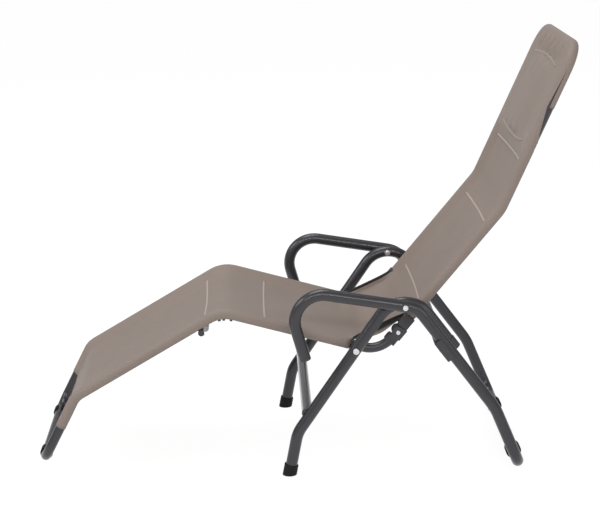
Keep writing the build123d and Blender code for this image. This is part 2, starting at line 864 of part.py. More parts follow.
with BuildPart() as hinge_back_left:
    with BuildSketch(hinge_plane(-rail_half + socket_half)):
        with Locations(((hinge_end + hinge_shoulder) / 2, 0)):
            Rectangle(hinge_end - hinge_shoulder, hinge_socket_size)
    extrude(amount=hinge_socket_size)
    fillet(hinge_back_left.edges().filter_by(Axis(fold_pivot, aim(back_angle))), hinge_rounding)
    with BuildSketch(hinge_plane(-rail_half + hinge_half)):
        with Locations((hinge_shoulder / 2, 0)):
            Rectangle(hinge_shoulder, 2 * cheek_radius)
    extrude(amount=cheek_depth)
    with BuildSketch(hinge_plane(-rail_half + hinge_half)):
        Polygon(
            (0, 0), (0, hinge_size), (hinge_end, hinge_size), (hinge_end, trim_rise), align=None
        )
    extrude(amount=hinge_size, mode=Mode.SUBTRACT)
    with BuildSketch(hinge_plane(-rail_half + hinge_half)):
        Circle(cheek_radius)
    extrude(amount=cheek_depth)
    add(back_solid, mode=Mode.SUBTRACT)
    add(across(fold_pivot, hinge_hole, -rail_half, -rail_half + hinge_half), mode=Mode.SUBTRACT)
    with BuildSketch(hinge_plane(-rail_half - socket_half + groove_depth)):
        for step in (1, 2, 3, 4):
            with Locations((hinge_end - step * groove_spacing, 0)):
                Rectangle(groove_width, hinge_size)
    extrude(amount=groove_depth, mode=Mode.SUBTRACT)
hinge_back_left.part.label = "hinge_back_left"
export_step(hinge_back_left.part, "parts/hinge_back_left.step")

with BuildPart() as hinge_back_right:
    add(mirrored(hinge_back_left.part))
hinge_back_right.part.label = "hinge_back_right"
export_step(hinge_back_right.part, "parts/hinge_back_right.step")

hinge_outer = rail_half + hinge_half
hinge_inner = rail_half - hinge_half
with BuildPart() as hinge_screws:
    add(
        rounded_rod(
            at_y(fold_pivot, -hinge_outer),
            at_y(fold_pivot, -hinge_outer - hinge_head_height),
            hinge_head_diameter,
            cap_rounding,
        )
    )
    add(
        across(
            fold_pivot, hinge_screw_diameter, -hinge_outer, -hinge_inner + hinge_nut_height
        )
    )
    with Locations(at_y(fold_pivot, -hinge_outer - hinge_head_height)):
        Box(drive_length, 2 * drive_depth, drive_width, mode=Mode.SUBTRACT)
        Box(drive_width, 2 * drive_depth, drive_length, mode=Mode.SUBTRACT)
    add(mirrored(hinge_screws.part))
hinge_screws.part.label = "hinge_screws"
export_step(hinge_screws.part, "parts/hinge_screws.step")

with BuildPart() as hinge_nuts:
    with BuildSketch(Plane(origin=at_y(fold_pivot, -hinge_inner), z_dir=(0, 1, 0))):
        RegularPolygon(hinge_nut_width / 2, 6, major_radius=False)
        Circle(hinge_hole / 2, mode=Mode.SUBTRACT)
    extrude(amount=hinge_nut_height)
    add(mirrored(hinge_nuts.part))
hinge_nuts.part.label = "hinge_nuts"
export_step(hinge_nuts.part, "parts/hinge_nuts.step")

# Sling cloth: a sheet that sags between the rails, with a sleeve round each rail
sheet_half = rail_half - rail_diameter / 2 - cloth_gap - cloth_thickness / 2
front_rise = rail_diameter / 2 + cloth_gap + cloth_thickness / 2
seat_way = aim(-seat_slope)
seat_up = aim(quarter_turn - seat_slope)
back_way = aim(back_angle)
back_up = aim(back_angle + quarter_turn)
head_way = aim(head_angle)
head_up = aim(head_angle + quarter_turn)
foot_hem = foot_bend - aim(foot_angle) * foot_cloth_length
seat_sleeve_end = tilt_pivot - seat_way * seat_sleeve_gap
back_sleeve_from = fold_pivot + back_way * back_sleeve_start
ramp_from = neck + head_way * ramp_start
panel_from = neck + head_way * back_sleeve_end
pocket_from = neck + head_way * pocket_start


def thin_profile(plane, half_width, sag):
    # Section of a sheet on a plane: level at its two edges and lowest in the middle
    with BuildSketch(plane) as profile:
        with BuildLine():
            upper = ThreePointArc(
                (-half_width, cloth_thickness / 2),
                (0, cloth_thickness / 2 - sag),
                (half_width, cloth_thickness / 2),
            )
            lower = ThreePointArc(
                (half_width, -cloth_thickness / 2),
                (0, -cloth_thickness / 2 - sag),
                (-half_width, -cloth_thickness / 2),
            )
            Line(upper @ 1, lower @ 0)
            Line(lower @ 1, upper @ 0)
        make_face()
    return profile.sketch.face()


def cross_plane(origin, way):
    return Plane(origin=origin, x_dir=(0, 1, 0), z_dir=way)


def sagging_sheet(path):
    with BuildPart() as solid:
        sweep(sections=thin_profile(cross_plane(path @ 0, path % 0), sheet_half, cloth_sag), path=path)
    return solid.part


def hip_ends(share, lap):
    # Where the cloth between the two frames starts and ends, at a share of its half width
    y = share * hip_half_width
    level = -cloth_sag * (1 - (y / sheet_half) ** 2)
    start = at_y(seat_sleeve_end - seat_way * lap + seat_up * level, y)
    end = at_y(back_sleeve_from + back_way * lap + back_up * level, y)
    return start, end


def hip_section(share):
    start, end = hip_ends(share, cloth_lap)
    plane = Plane(origin=(start + end) / 2, x_dir=end - start, z_dir=(0, -1, 0))
    dip = hip_edge_dip + (hip_dip - hip_edge_dip) * (1 - share**2)
    return thin_profile(plane, (end - start).length / 2, dip)


def fold_drum(growth):
    # Cloth inside this drum round the folding pivot turns with the back frame
    return across(fold_pivot, 2 * (hip_cut_radius + growth), -rear_half, rear_half)


def hip_binding(side):
    start, end = hip_ends(1, -cloth_lap)
    y = side * (hip_half_width + binding_width / 2)
    plane = Plane(origin=(start + end) / 2, x_dir=end - start, z_dir=(0, -1, 0))
    half = (end - start).length / 2
    low = plane.from_local_coords(Vector(0, -hip_edge_dip, 0))
    with BuildLine() as run:
        ThreePointArc(
            at_y(plane.from_local_coords(Vector(-half, 0, 0)), y),
            at_y(low, y),
            at_y(plane.from_local_coords(Vector(half, 0, 0)), y),
        )
    path = run.wires()[0]
    with BuildPart() as solid:
        with BuildSketch(cross_plane(path @ 0, path % 0)):
            Rectangle(binding_width, binding_thickness)
        sweep(path=path)
    return solid.part


with BuildPart() as hip_cloth:
    loft(sections=[hip_section(share) for share in hip_shares])

seat_sheet_path = bent_line(
    [foot_hem, foot_bend, knee, seat_sleeve_end], (foot_bend_radius, knee_radius)
)
with BuildPart() as sling_seat:
    add(hip_cloth.part)
    add(fold_drum(joint_gap / 2), mode=Mode.SUBTRACT)
    add(sagging_sheet(seat_sheet_path))
    for side in (-1, 1):
        sleeve_path = bent_line(
            side_points([foot_hem, foot_bend, knee, seat_sleeve_end], side),
            (foot_bend_radius, knee_radius),
        )
        add(tube_along(sleeve_path, 2 * sleeve_radius, cloth_thickness))
        add(knee_screw(side), mode=Mode.SUBTRACT)
sling_seat.part.label = "sling_seat"
export_step(sling_seat.part, "parts/sling_seat.step")

# Back part of the sling: it rises to the front of the rails at the head, where a pocket
# goes over the end of the frame
pocket_side = [pocket_from, head_top]
pocket_height = head_length - pocket_start
bare_length = pocket_start - back_sleeve_end
panel_half = rail_half - panel_cutout


def pocket_plane(rise):
    middle = pocket_from + head_way * (pocket_height / 2)
    return Plane(origin=middle + head_up * rise, x_dir=(0, -1, 0), z_dir=head_up)


with BuildPart() as sling_back:
    add(hip_cloth.part)
    add(fold_drum(-joint_gap / 2), mode=Mode.INTERSECT)
    add(sagging_sheet(bent_line([back_sleeve_from, neck, ramp_from], neck_radius)))
    for side in (-1, 1):
        sleeve_path = bent_line(side_points([back_sleeve_from, neck, ramp_from], side), neck_radius)
        add(tube_along(sleeve_path, 2 * sleeve_radius, cloth_thickness))
    ramp_low = cross_plane(ramp_from - head_way * cloth_lap, head_way)
    ramp_high = cross_plane(
        panel_from + head_way * cloth_lap + head_up * (front_rise - cloth_gap), head_way
    )
    loft(
        sections=[
            thin_profile(ramp_low, sheet_half, cloth_sag),
            thin_profile(ramp_high, panel_half, cloth_gap),
        ],
        ruled=True,
    )
    for side in (-1, 1):
        sleeve_path = straight_line(*side_points([ramp_from, panel_from], side))
        add(tube_along(sleeve_path, 2 * sleeve_radius, cloth_thickness))
    pocket_path = bent_line(
        side_points(pocket_side, -1) + side_points(pocket_side[::-1], 1), head_corner_radius
    )
    add(tube_along(pocket_path, 2 * sleeve_radius, cloth_thickness))
    for rise in (-front_rise, front_rise):
        with BuildSketch(pocket_plane(rise - cloth_thickness / 2)) as pocket_panel:
            Rectangle(2 * rail_half, pocket_height)
            fillet(pocket_panel.vertices().group_by(Axis.Y)[-1], head_corner_radius)
        extrude(amount=cloth_thickness)
    with BuildSketch(pocket_plane(front_rise - cloth_thickness / 2)):
        with Locations((0, -(pocket_height + bare_length) / 2)):
            Rectangle(2 * panel_half, bare_length)
    extrude(amount=cloth_thickness)
sling_back.part.label = "sling_back"
export_step(sling_back.part, "parts/sling_back.step")

with BuildPart() as seat_edge_binding:
    for side in (-1, 1):
        add(hip_binding(side))
    add(fold_drum(joint_gap / 2), mode=Mode.SUBTRACT)
seat_edge_binding.part.label = "seat_edge_binding"
export_step(seat_edge_binding.part, "parts/seat_edge_binding.step")

with BuildPart() as back_edge_binding:
    for side in (-1, 1):
        add(hip_binding(side))
    add(fold_drum(-joint_gap / 2), mode=Mode.INTERSECT)
back_edge_binding.part.label = "back_edge_binding"
export_step(back_edge_binding.part, "parts/back_edge_binding.step")

with BuildPart() as head_pad:
    pad_base = neck + head_way * (pad_start + pad_length / 2) + head_up * (
        front_rise + cloth_thickness / 2
    )
    with BuildSketch(Plane(origin=pad_base, x_dir=(0, 1, 0), z_dir=head_up)):
        RectangleRounded(pad_width, pad_length, pad_corner_radius)
    extrude(amount=pad_thickness, taper=pad_taper)
    fillet(head_pad.faces().sort_by(Axis(pad_base, head_up))[-1].edges(), pad_rounding)
head_pad.part.label = "head_pad"
export_step(head_pad.part, "parts/head_pad.step")
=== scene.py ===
import json
import math

import bmesh
import bpy
from bpy.props import FloatProperty, FloatVectorProperty, PointerProperty
from mathutils import Matrix, Vector, noise

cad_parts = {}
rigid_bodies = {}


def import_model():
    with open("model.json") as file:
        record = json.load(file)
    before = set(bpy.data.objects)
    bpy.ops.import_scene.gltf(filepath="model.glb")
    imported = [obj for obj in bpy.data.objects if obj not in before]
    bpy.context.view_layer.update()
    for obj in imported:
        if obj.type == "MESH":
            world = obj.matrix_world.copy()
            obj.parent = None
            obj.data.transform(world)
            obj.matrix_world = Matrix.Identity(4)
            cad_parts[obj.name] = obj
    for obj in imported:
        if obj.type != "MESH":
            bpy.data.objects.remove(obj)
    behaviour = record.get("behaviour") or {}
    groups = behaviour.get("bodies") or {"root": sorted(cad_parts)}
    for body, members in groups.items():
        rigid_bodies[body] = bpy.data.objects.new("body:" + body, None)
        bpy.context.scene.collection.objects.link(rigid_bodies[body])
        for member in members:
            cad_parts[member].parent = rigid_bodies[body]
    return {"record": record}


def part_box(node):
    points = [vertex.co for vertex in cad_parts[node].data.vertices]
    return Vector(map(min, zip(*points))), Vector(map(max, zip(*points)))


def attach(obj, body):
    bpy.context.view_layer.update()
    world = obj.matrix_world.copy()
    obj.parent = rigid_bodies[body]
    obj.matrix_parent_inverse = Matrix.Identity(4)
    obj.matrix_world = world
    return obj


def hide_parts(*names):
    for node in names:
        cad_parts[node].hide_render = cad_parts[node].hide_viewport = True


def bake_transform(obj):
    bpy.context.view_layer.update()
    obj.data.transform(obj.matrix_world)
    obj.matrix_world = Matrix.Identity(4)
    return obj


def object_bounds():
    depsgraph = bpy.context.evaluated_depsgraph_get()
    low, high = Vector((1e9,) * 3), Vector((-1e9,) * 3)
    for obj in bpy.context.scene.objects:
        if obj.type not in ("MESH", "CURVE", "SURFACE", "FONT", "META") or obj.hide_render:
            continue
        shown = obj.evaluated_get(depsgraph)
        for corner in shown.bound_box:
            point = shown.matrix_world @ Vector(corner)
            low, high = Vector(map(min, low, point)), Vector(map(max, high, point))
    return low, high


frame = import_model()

bl_info = {
    "name": "Tilting sun lounger",
    "version": (1, 0, 0),
    "blender": (4, 5, 0),
    "location": "3D View > Sidebar > Lounger",
    "description": "Sling cloth, pad, trims, finishes and studio for the lounger's packed frame",
    "category": "Object",
}

CAD_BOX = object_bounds()

# Corners and pivots in the side view: along the length and up, in metres
FOOT_BEND = Vector((-0.585544, 0.210728))
KNEE = Vector((-0.209256, 0.427978))
HIP = Vector((0.194474, 0.312210))
TILT_PIVOT = Vector((0.130069, 0.330678))
FOLD_PIVOT = Vector((0.239281, 0.365990))
NECK = Vector((0.497246, 0.675608))

# Slopes of the rails and of the front legs
FOOT_ANGLE = math.radians(62.5)
SEAT_SLOPE = math.radians(-16)
BACK_ANGLE = math.radians(50.2)
HEAD_ANGLE = math.radians(65.8)
LEG_ANGLE = math.radians(55.5)

# Half distances between the rails and between the front legs, then the head end of the rails:
# its length above the neck and the radius of its corners
RAIL_HALF = 0.216
FRONT_HALF = 0.2555
HEAD_LENGTH = 0.440
HEAD_CORNER = 0.060


def aim(angle):
    return Vector((math.cos(angle), math.sin(angle)))


def left_of(way):
    return Vector((-way.y, way.x))


def smooth(low, high, value):
    share = min(1.0, max(0.0, (value - low) / (high - low)))
    return share * share * (3 - 2 * share)


def between(table, value):
    """A value read from a table of (place, value) pairs, straight between them."""
    if value <= table[0][0]:
        return table[0][1]
    for (low, first), (high, second) in zip(table, table[1:]):
        if value <= high:
            return first + (second - first) * (value - low) / (high - low)
    return table[-1][1]


# Ends of the sleeves, and distances along the cloth's rails to the knee and to the neck
HEM_LENGTH = 0.090
FOOT_HEM = FOOT_BEND - aim(FOOT_ANGLE) * HEM_LENGTH
SEAT_SLEEVE_END = TILT_PIVOT - aim(SEAT_SLOPE) * 0.0145
BACK_SLEEVE_START = FOLD_PIVOT + aim(BACK_ANGLE) * 0.052
KNEE_AT = HEM_LENGTH + (KNEE - FOOT_BEND).length - 0.004
NECK_AT = (NECK - BACK_SLEEVE_START).length

# Distances above the neck: the sheet's ramp up to the rails' front, the place from which
# the sleeves open, the angles they open to, and the start of the pocket
RAMP = (0.100, 0.185)
OPEN_FROM = 0.160
OPEN_ANGLES = (
    (OPEN_FROM, -196), (0.175, -122), (0.185, -88), (0.200, -44), (0.215, -18), (0.245, 3),
    (0.281, 30),
)
POCKET_START = 0.281
POCKET_FRONT_ANGLES = ((0.281, 30), (0.310, 22), (0.345, 13), (0.378, 3.5))
POCKET_BACK_ANGLE = -3.5

# The sheet's seam over the rails' middle plane, and the pocket's seam, level and sag
SEAM_LEVEL = -0.003
POCKET_SEAM = 0.186
POCKET_LEVEL = 0.0132
POCKET_SAG = 0.001

# How far the middle of the foot hem bows towards the foot end, and the half width that bows
HEM_BOW = 0.010
HEM_HALF = 0.185

# Distance between rows of cloth points on the sleeves
ROW_STEP = 0.0115

# Hip: steps between the sleeves, the share of the way over which the free edges come loose
# at each end, how far they are pulled in, and the middle's dip where it leaves the sleeves
HIP_STEPS = 20
HIP_LOOSE = 0.26
HIP_PULL = 0.0085
HIP_END_DIP = 0.015

# Lengthwise folds of the pocket: place across, width, and depth in units of FOLD_DEPTH
FOLD_DEPTH = 0.0015
FOLDS = (
    (-0.160, 0.011, 3.2), (-0.130, 0.010, -3.0), (-0.098, 0.011, 3.8), (-0.068, 0.010, -3.6),
    (-0.040, 0.011, 4.2), (-0.012, 0.009, -4.0), (0.014, 0.011, 4.4), (0.044, 0.010, -3.4),
    (0.074, 0.012, 3.6), (0.106, 0.010, -3.8), (0.136, 0.011, 3.4),
)

# Pitch and contrast of the yarn in the cloth and in the tape
CLOTH_YARN = (0.0017, 0.5)
TAPE_YARN = (0.0012, 0.6)

# Head pad: its middle above the neck, its rim inside the seams, and how it is swollen
PAD_MIDDLE = 0.2745
PAD_RIM = 0.002
PAD_VOXEL = 0.0045
PAD_PRESSURE = 4.0
PAD_FRAMES = 20
PAD_SWELL_LIMIT = 0.005

# Weld beads: how far the cross tube lies off the leg's middle line, the beads' radius, the
# leg they lie on and the band in which they leave it
CROSS_TUBE_INSET = 0.009
BEAD_RADIUS = 0.0023
BEAD_LEG = 0.0152
BEAD_EDGE = (0.0135, 0.0165)

# The camera: its place, its turn and its focal length in picture widths
CAMERA_PLACE = Vector((-0.106596, -4.14106, 1.60443))
CAMERA_TURN = (0.0257108, 0.2586522, -0.017374)
CAMERA_FOCUS = 1620.776 / 600
SENSOR_WIDTH = 36.0

# The floor's glow to the camera, how much of it is mixed in, and the world's light on things
FLOOR_GLOW = 1.1
FLOOR_GLOW_SHARE = 0.84
WORLD_LIGHT = 0.43

# Lamps: name, place, width, height and power, and the point that they all face
LAMPS = (
    ("key_light", (-3.8, -1.2, 3.0), 2.4, 1.6, 64),
    ("fill_light", (3.4, -2.6, 2.2), 2.0, 2.0, 25),
    ("top_light", (-0.6, 0.6, 4.4), 3.0, 2.0, 92),
    ("strip_light", (0.0, -4.6, 2.7), 5.0, 0.3, 100),
)
LAMP_TARGET = Vector((0, 0, 0.5))


def metres(name, description, default):
    return FloatProperty(name=name, description=description, default=default, unit="LENGTH")


class LoungerSizes(bpy.types.PropertyGroup):
    cloth_thickness: metres("Cloth thickness", "Thickness of the mesh cloth", 0.0010)
    sleeve_radius: metres("Sleeve radius", "Radius of the sleeves' middle surface", 0.01305)
    seam_inset: metres("Sleeve seam inset", "From the rail's middle to the sleeve's seam", 0.029)
    sag: metres("Sag", "Sag of the sheet between its sleeve seams", 0.009)
    hip_dip: metres("Hip dip", "How far the middle hangs below the rails at the hip", 0.014)
    binding_top: metres("Binding, upper width", "Width of the edge tape above", 0.006)
    binding_under: metres("Binding, lower width", "Width of the edge tape below", 0.0145)
    hem_height: metres("Hem height", "How far the free edges at the hip stand up", 0.015)
    thread_width: metres("Seam width", "Width of the pale sewn seams", 0.0054)
    side_thread: metres("Side seam width", "Width of the seams beside the head pad", 0.0034)
    pad_length: metres("Pad length", "Head pad along the rails", 0.219)
    pad_width: metres("Pad width", "Head pad across the rails", 0.316)
    pad_height: metres("Pad height", "Head pad's swell at its crown", 0.009)
    pad_bow: metres("Pad bow", "How much shorter each end of the pad is at the sides", 0.011)


def colour(name, description, default):
    return FloatVectorProperty(
        name=name, description=description, default=default, subtype="COLOR", size=3,
        min=0.0, max=1.0,
    )


class LoungerColours(bpy.types.PropertyGroup):
    cloth: colour("Cloth", "Taupe yarn of the sling", (0.210, 0.169, 0.147))
    thread: colour("Seams", "Pale thread of the sling's seams", (0.38, 0.315, 0.28))
    soft_thread: colour("Pad seams", "Thread of the head pad's seams", (0.30, 0.247, 0.218))
    binding: colour("Binding", "Dark tape on the free edges", (0.016, 0.015, 0.015))
    steel: colour("Frame paint", "Anthracite powder coat", (0.030, 0.029, 0.034))
    zinc: colour("Fasteners", "Bright zinc plate", (0.72, 0.72, 0.73))
    rubber: colour("Rubber", "Feet, pads and glides", (0.010, 0.010, 0.011))
    plastic: colour("Plastic", "Plugs, saddles and hinges", (0.026, 0.026, 0.029))


def sizes():
    return bpy.context.scene.lounger_sizes


def colours():
    return bpy.context.scene.lounger_colours


class RailLine:
    """A rail's middle line in the side view: straight runs joined by arcs."""

    def __init__(self, points, radii):
        self.runs = []
        start = points[0]
        for corner, after, radius in zip(points[1:-1], points[2:], radii):
            way_in = (corner - start).normalized()
            way_out = (after - corner).normalized()
            turn = math.atan2(way_in.x * way_out.y - way_in.y * way_out.x, way_in.dot(way_out))
            reach = radius * math.tan(abs(turn) / 2)
            touch = corner - way_in * reach
            self.runs += [
                (start, way_in, (touch - start).length, 0.0),
                (touch, way_in, radius * abs(turn), math.copysign(1 / radius, turn)),
            ]
            start = corner + way_out * reach
        rest = points[-1] - start
        self.runs.append((start, rest.normalized(), rest.length, 0.0))
        self.length = sum(run[2] for run in self.runs)

    def at(self, distance):
        """The point and the way at a distance along the line."""
        for start, way, length, bend in self.runs:
            if distance <= length or (start, way, length, bend) == self.runs[-1]:
                break
            distance -= length
        if not bend:
            return start + way * distance, way
        angle = distance * bend
        left = left_of(way)
        point = start + way * (math.sin(angle) / bend) + left * ((1 - math.cos(angle)) / bend)
        return point, way * math.cos(angle) + left * math.sin(angle)


def seat_line():
    return RailLine([FOOT_HEM, FOOT_BEND, KNEE, SEAT_SLEEVE_END], (0.045, 0.080))


def in_space(spot, across=0.0):
    """A side view's point or way in space."""
    return Vector((spot.x, across, spot.y))


def placed(point, level, way, across):
    """A point in space, at a level over a rail point and a distance across."""
    return in_space(point + left_of(way) * level, across)


def head_point(up_head, across, level):
    """A point in space over the head end, at a distance above the neck."""
    way = aim(HEAD_ANGLE)
    return placed(NECK + way * up_head, level, way, across)


# Columns of the cloth across half of the lounger, from the middle outwards
MIDDLE_COLUMNS = 14
TOP_SHARES = (0.2, 0.4, 0.6, 0.8, 1.0)
TOP_COLUMNS = MIDDLE_COLUMNS + len(TOP_SHARES)
ROUND_COLUMNS = TOP_COLUMNS + 14
UNDER_SHARES = (0.35, 0.7, 0.97)


def toward(start, end, shares):
    """Points at shares of the way from one point to another."""
    return [
        (start[0] + (end[0] - start[0]) * share, start[1] + (end[1] - start[1]) * share)
        for share in shares
    ]


def half_section(seam, seam_level, sag, end_angle=None):
    """Half of the cloth's section: places across and levels over the rail's middle.

    With no end angle the sleeve closes on its seam, else it stops at that angle."""
    radius = sizes().sleeve_radius
    section = [
        (seam * k / MIDDLE_COLUMNS, seam_level - sag * (1 - (k / MIDDLE_COLUMNS) ** 2))
        for k in range(MIDDLE_COLUMNS + 1)
    ]
    run, rise = RAIL_HALF - seam, -seam_level
    away = math.hypot(run, rise)
    base = math.atan2(rise, run)
    opening = math.asin(radius / away)
    reach = math.sqrt(away * away - radius * radius)

    def touch(turn):
        return seam + reach * math.cos(base + turn), seam_level + reach * math.sin(base + turn)

    top, low = touch(opening), touch(-opening)
    section += toward((seam, seam_level), top, TOP_SHARES)
    first = math.atan2(top[1], top[0] - RAIL_HALF)
    last = end_angle
    if last is None:
        last = math.atan2(low[1], low[0] - RAIL_HALF)
        last -= 2 * math.pi if last > 0 else 0
    steps = ROUND_COLUMNS - TOP_COLUMNS
    for k in range(1, steps + 1):
        angle = first + (last - first) * k / steps
        section.append((RAIL_HALF + radius * math.cos(angle), radius * math.sin(angle)))
    if end_angle is None:
        section += toward(low, (seam, seam_level - sizes().cloth_thickness), UNDER_SHARES)
    return section


def wrinkle(along, across):
    """Slight unevenness of the stretched cloth, the same on every run."""
    broad = noise.noise(Vector((along * 5.0, across * 9.0, 3.1)))
    pulls = noise.noise(Vector((along * 1.6, across * 26.0, 7.7)))
    return 0.0016 * broad + 0.0007 * pulls


def stations(length, fixed):
    """Places along a length, one row's step apart, with the fixed ones among them."""
    count = round(length / ROW_STEP)
    places = [length * k / count for k in range(count + 1)]
    for spot in fixed:
        nearest = min(range(1, count), key=lambda k: abs(places[k] - spot))
        places[nearest] = spot
    return places


class ClothRow:
    """A line of cloth points across the lounger, the same on both sides, its way, and how
    far along the cloth it lies."""

    def __init__(self, half, along, way):
        self.half = half
        self.along = along
        self.way = way

    def point(self, side, column):
        spot = self.half[column]
        return Vector((spot.x, side * spot.y, spot.z))


def section_row(line, along, section, uneven=1.0, hem=0.0):
    """A section as a row at a distance along its rails; a hem bows towards the foot end."""
    point, way = line.at(along)
    half = []
    for column, (across, level) in enumerate(section):
        spot, turn = point, way
        if column <= MIDDLE_COLUMNS:
            if hem:
                bow = HEM_BOW * max(0.0, 1 - (across / HEM_HALF) ** 2)
                spot, turn = line.at(along - hem * bow)
            share = max(0.0, 1 - across / (RAIL_HALF - 0.02))
            level += uneven * wrinkle(along, across) * min(1.0, share * 4)
        half.append(placed(spot, level, turn, across))
    return ClothRow(half, along, way)


def named_rows(rows, places):
    """The rows that lie at named distances along the rails."""
    return {name: next(row for row in rows if row.along == at) for name, at in places.items()}


def head_section(up_head):
    """Seam place, seam level and sag of the sheet at a distance above the neck."""
    ramp = smooth(*RAMP, up_head)
    inner = RAIL_HALF - sizes().seam_inset
    return (
        inner + (POCKET_SEAM - inner) * ramp,
        SEAM_LEVEL + (POCKET_LEVEL - SEAM_LEVEL) * ramp,
        sizes().sag + (POCKET_SAG - sizes().sag) * ramp,
    )


def sheet_level(up_head, across):
    """Level of the sheet's middle surface over the rails' middle plane."""
    seam, level, sag = head_section(up_head)
    return level - sag * (1 - (across / seam) ** 2)


def clear_of_pad(up_head):
    """1 away from the head pad, 0 where the pad lies on the sheet."""
    return 1 - smooth(0.135, 0.165, up_head) * (1 - smooth(0.384, 0.402, up_head))


def seat_rows():
    """The seat's rows from the foot hem up, those of them that carry seams, and their length."""
    s = sizes()
    line = seat_line()
    seams = {"knee": KNEE_AT - 0.050, "seat": KNEE_AT + 0.118}
    rows = []
    for spot in stations(line.length, seams.values()):
        sag = s.sag * smooth(-0.02, 0.13, spot)
        section = half_section(RAIL_HALF - s.seam_inset, SEAM_LEVEL, sag)
        rows.append(section_row(line, spot, section, hem=1 - smooth(0.0, 0.07, spot)))
    return rows, named_rows(rows, seams), line.length


def back_rows():
    """The back's rows from the hip up to the pocket, those with seams, and their length."""
    end = NECK + aim(HEAD_ANGLE) * POCKET_START
    line = RailLine([BACK_SLEEVE_START, NECK, end], (0.080,))
    seams = {"back_low": 0.034, "back": 0.296, "head": NECK_AT + 0.128}
    rows = []
    for spot in stations(line.length, (*seams.values(), NECK_AT + OPEN_FROM)):
        up_head = spot - NECK_AT
        angle = None
        if up_head > OPEN_FROM + 0.001:
            angle = math.radians(between(OPEN_ANGLES, up_head))
        section = half_section(*head_section(up_head), angle)
        rows.append(section_row(line, spot, section, uneven=clear_of_pad(up_head)))
    return rows, named_rows(rows, seams), line.length


def hip_rows(first, last, start_along):
    """The cloth between the sleeves: hems pulled taut, and a middle that hangs."""
    line = RailLine([SEAT_SLEEVE_END, HIP, BACK_SLEEVE_START], (0.070,))

    def between_ends(t, column):
        return first.half[column].lerp(last.half[column], t)

    def base(t, column):
        free = smooth(0.0, HIP_LOOSE, t) * smooth(0.0, HIP_LOOSE, 1 - t)
        edge = between_ends(t, TOP_COLUMNS) + Vector((0, -HIP_PULL * free, -0.004 * t * (1 - t)))
        way = (last.half[TOP_COLUMNS] - first.half[TOP_COLUMNS]).normalized()
        down = Vector((way.z, 0, -way.x))
        foot = between_ends(t, MIDDLE_COLUMNS).lerp(
            edge + down * sizes().hem_height - Vector((0, 0.005, 0)), free
        )
        if column > MIDDLE_COLUMNS:
            share = (column - MIDDLE_COLUMNS) / (TOP_COLUMNS - MIDDLE_COLUMNS)
            bulge = Vector((0, -0.001 * free * 4 * share * (1 - share), 0))
            return foot.lerp(edge, share) + bulge
        point, way = line.at(t * line.length)
        dip = HIP_END_DIP + (sizes().hip_dip - HIP_END_DIP) * math.sin(math.pi * t)
        share = column / MIDDLE_COLUMNS
        spot = placed(point, -dip, way, 0).lerp(foot, share ** (2 + 0.6 * free))
        spot.y = share * foot.y
        return spot

    rows = []
    for k in range(1, HIP_STEPS):
        t = k / HIP_STEPS
        half = []
        for column in range(TOP_COLUMNS + 1):
            spot = base(t, column)
            spot += (first.half[column] - base(0, column)) * (1 - t) ** 2
            spot += (last.half[column] - base(1, column)) * t ** 2
            half.append(spot)
        way = line.at(t * line.length)[1]
        rows.append(ClothRow(half, start_along + t * line.length, way))
    return rows, line.length


def linked(name, data):
    """A new object in the scene."""
    piece = bpy.data.objects.new(name, data)
    bpy.context.scene.collection.objects.link(piece)
    return piece


def mesh_piece(name, body):
    """A new object with the faces of a bmesh, which is freed."""
    data = bpy.data.meshes.new(name)
    body.to_mesh(data)
    body.free()
    return linked(name, data)


class ClothSheet:
    """Collects the cloth's points and faces, with a flat map in metres on each face."""

    def __init__(self):
        self.mesh = bmesh.new()
        self.map = self.mesh.loops.layers.uv.new("ClothMap")
        self.points = {}
        self.flat = {}

    def add(self, tag, row, side, column, spot, flat):
        """A point of the cloth. Both sides share the middle column's."""
        key = tag, row, side if column else 0, column
        if key not in self.points:
            self.points[key] = self.mesh.verts.new(spot)
            self.flat[self.points[key]] = flat

    def cell(self, tag, row, side, column):
        """The face between two rows and two columns, turned outwards on both sides."""
        around = (row, column), (row + 1, column), (row + 1, column + 1), (row, column + 1)
        face = self.mesh.faces.new(
            [self.points[tag, i, side if j else 0, j] for i, j in around[::side]]
        )
        face.smooth = True
        for loop in face.loops:
            loop[self.map].uv = self.flat[loop.vert]

    def object(self, name):
        bmesh.ops.remove_doubles(self.mesh, verts=self.mesh.verts[:], dist=0.0002)
        bmesh.ops.dissolve_degenerate(self.mesh, edges=self.mesh.edges[:], dist=0.00001)
        return mesh_piece(name, self.mesh)


def across_lengths(row):
    """Distance along the cloth from the middle to each column."""
    total, lengths = 0.0, [0.0]
    for low, high in zip(row.half, row.half[1:]):
        total += (high - low).length
        lengths.append(total)
    return lengths


def weave_rows(sheet, rows, tag):
    for number, row in enumerate(rows):
        reach = across_lengths(row)
        for side in (-1, 1):
            for column in range(len(row.half)):
                flat = side * reach[column], row.along
                sheet.add(tag, number, side, column, row.point(side, column), flat)
    for number, (low, high) in enumerate(zip(rows, rows[1:])):
        for side in (-1, 1):
            for column in range(min(len(low.half), len(high.half)) - 1):
                sheet.cell(tag, number, side, column)


